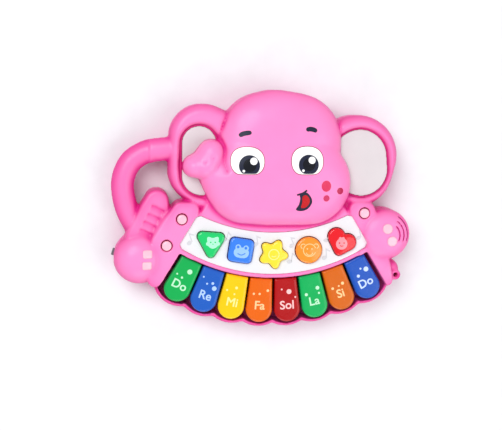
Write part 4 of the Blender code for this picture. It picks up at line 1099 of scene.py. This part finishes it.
def eye(side, tree):
    """An eye that is flat at its lower edge, in layers from its outline to its glints."""
    (x, y), (half, high), flat, iris, glint, small = EYES[side]

    def rounded_eye(grow):
        points = []
        for c, s in ((math.cos(TAU * k / 72), math.sin(TAU * k / 72)) for k in range(72)):
            across = (half + grow) * math.copysign(abs(c) ** 0.87, c)
            up = (high + grow) * math.copysign(abs(s) ** 0.87, s)
            points.append(Vector((x + across, soft_floor(y + up, flat - grow, 0.5))))
        return points

    iris_edge = [Vector((p.x, soft_floor(p.y, flat + 0.4, 0.4))) for p in circle(*iris, 56)]
    pupil_edge = circle(iris[0] + 0.3, iris[1] + 0.2, iris[2] * 0.62, 44)
    layers = (
        ("outline", rounded_eye(0.55), EYE_LINE, 0.08), ("white", rounded_eye(0.0), EYE_WHITE, 0.16),
        ("iris", iris_edge, NAVY, 0.24), ("pupil", pupil_edge, PUPIL, 0.32),
        ("glint", circle(*glint, 30), EYE_WHITE, 0.40), ("small_glint", circle(*small, 20), EYE_WHITE, 0.40),
    )
    for word, outline, paint, lift in layers:
        decal(f"{side}_eye_{word}", tree, outline, lift, paint, spacing=1.1)


def face(tree):
    for side in EYES:
        eye(side, tree)
    for side, route in BROWS.items():
        spine = smooth(route, 5)
        ends = [2 * k / (len(spine) - 1) - 1 for k in range(len(spine))]
        widths = [3.9 * math.sqrt(max(0.05, 1 - end**4)) for end in ends]
        decal(f"{side}_brow", tree, ribbon(spine, widths), 0.15, NAVY)
    decal("mouth", tree, smooth(MOUTH, 6, True), 0.14, NAVY)
    decal("tongue", tree, smooth(TONGUE_EDGE, 6, True), 0.22, TONGUE)
    corner = smooth(MOUTH_CORNER, 5)
    decal("mouth_corner", tree, ribbon(corner, [1.5] * len(corner)), 0.2, NAVY, spacing=0.8)
    for k, ((x, y, r, stretch), paint) in enumerate(zip(CHEEK_SPOTS, SPOT_PAINTS), 1):
        decal(f"cheek_spot_{k}", tree, circle(x, y, r, 36, stretch), 0.15, paint, spacing=0.9)


front_mesh = front_shell()
front = finished("front_housing", front_mesh, "housing", FRONT_PINK_SHADED, 60)
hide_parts("front_shell")
back = finished("rear_housing", rear_shell(), "housing", REAR_PINK_SHADED, 60)
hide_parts("rear_shell")
front_surface = surface(front_mesh)
panel()
ear_inlays()
shape_buttons()
keys()
small_details(front_surface)
face(front_surface)

# The CAD's own pieces that stay in view

CARRIER = plastic("carrier_plastic_look", (225, 222, 215), 0.5)
BOARD = Finish("board_look", (20, 110, 60), 0.35, coat=0.3).cells(420.0, (60, 160, 90)).grain().material
RUBBER = plastic("rubber_look", (40, 40, 42), 0.8, 0.0)
CHIP = plastic("glob_top_look", (14, 14, 16), 0.35, 0.2)
brushed = Finish("steel_look", (190, 192, 196), 0.28, 1.0).bands("X", 900.0, (160, 162, 166), 0.5)
STEEL = brushed.grain(1500.0, 0.1).material
plated = Finish("nickel_look", (205, 200, 190), 0.22, 1.0).bands("Z", 700.0, (170, 165, 155), 0.5)
NICKEL = plated.grain(1500.0, 0.1).material
paper = Finish("speaker_paper_look", (38, 36, 36), 0.85).bands("Y", 600.0, (60, 56, 54), 0.4)
CONE = paper.grain(1200.0, 0.3).material
wrap = Finish("battery_wrap_look", (38, 62, 120), 0.3, coat=0.4)
CELL = wrap.bands("X", 16.0, (205, 205, 210), 1.0, 0.78, 0.82).grain().material
ribbed = Finish("slider_look", (120, 120, 126), 0.4, coat=0.1)
GREY = ribbed.bands("Z", 800.0, (95, 95, 100), 0.5).grain().material
LEADS = {"speaker_lead": (190, 20, 20), "battery_lead": (20, 20, 22), "switch_lead": (225, 185, 30)}
LOOKS = {
    "key_carrier": CARRIER, "key_retainer": CARRIER, "main_board": BOARD, "key_board": BOARD,
    "sound_chip": CHIP, "button_contact_pad": RUBBER, "key_contact_strip": RUBBER,
    "speaker": STEEL, "speaker_cone": CONE, "power_switch": STEEL, "switch_slider": GREY,
    "battery_door": REAR_PINK_SHADED, "battery_contact_left": NICKEL, "battery_contact_right": NICKEL,
}
for name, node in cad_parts.items():
    look = LOOKS.get(name)
    if name.startswith("battery_") and name[-1].isdigit():
        look = CELL
    elif "screw" in name:
        look = STEEL
    elif name.startswith("function_switch"):
        look = RUBBER
    elif name in LEADS:
        look = plastic(f"{name}_look", LEADS[name], 0.45)
    if look:
        for place in node.material_slots:
            place.material = look

# The floor, the lights and the camera

floor = placed("floor", bpy.data.meshes.new("floor"))
with editing(floor.data) as bm:
    bmesh.ops.create_grid(bm, x_segments=2, y_segments=2, size=3.0)
floor.data.materials.append(Finish("floor_paint", (236, 236, 240), 0.7).material)


def soft_light(name, spot, size, watts):
    data = bpy.data.lights.new(name, "AREA")
    data.shape = "DISK"
    data.size = size
    data.energy = watts
    light = placed(name, data)
    light.location = spot
    light.rotation_euler = (-Vector(spot)).to_track_quat("-Z", "Y").to_euler()


soft_light("key_light", (-0.6, 0.7, 1.3), 1.1, 16.0)
soft_light("fill_light", (0.9, -0.4, 1.1), 1.2, 7.0)
soft_light("low_light", (0.0, -1.2, 0.7), 0.9, 4.0)
world = bpy.data.worlds.new("studio")
world.use_nodes = True
background = world.node_tree.nodes["Background"].inputs
background["Color"].default_value = (1.0, 1.0, 1.0, 1.0)
background["Strength"].default_value = 0.55
bpy.context.scene.world = world
bpy.context.scene.view_settings.view_transform = "Standard"

CAMERA_SPOT = (-0.11742, 0.10658, 0.85723)
CAMERA_TURN = ((0.99196, 0.00495, -0.12645), (0.01174, 0.99132, 0.13091), (0.12600, -0.13134, 0.98330))
camera = placed("camera", bpy.data.cameras.new("camera"))
camera.data.sensor_width = 36.0
camera.data.lens = 70.72
camera.matrix_world = Matrix.Translation(CAMERA_SPOT) @ Matrix(CAMERA_TURN).to_4x4()
bpy.context.scene.camera = camera
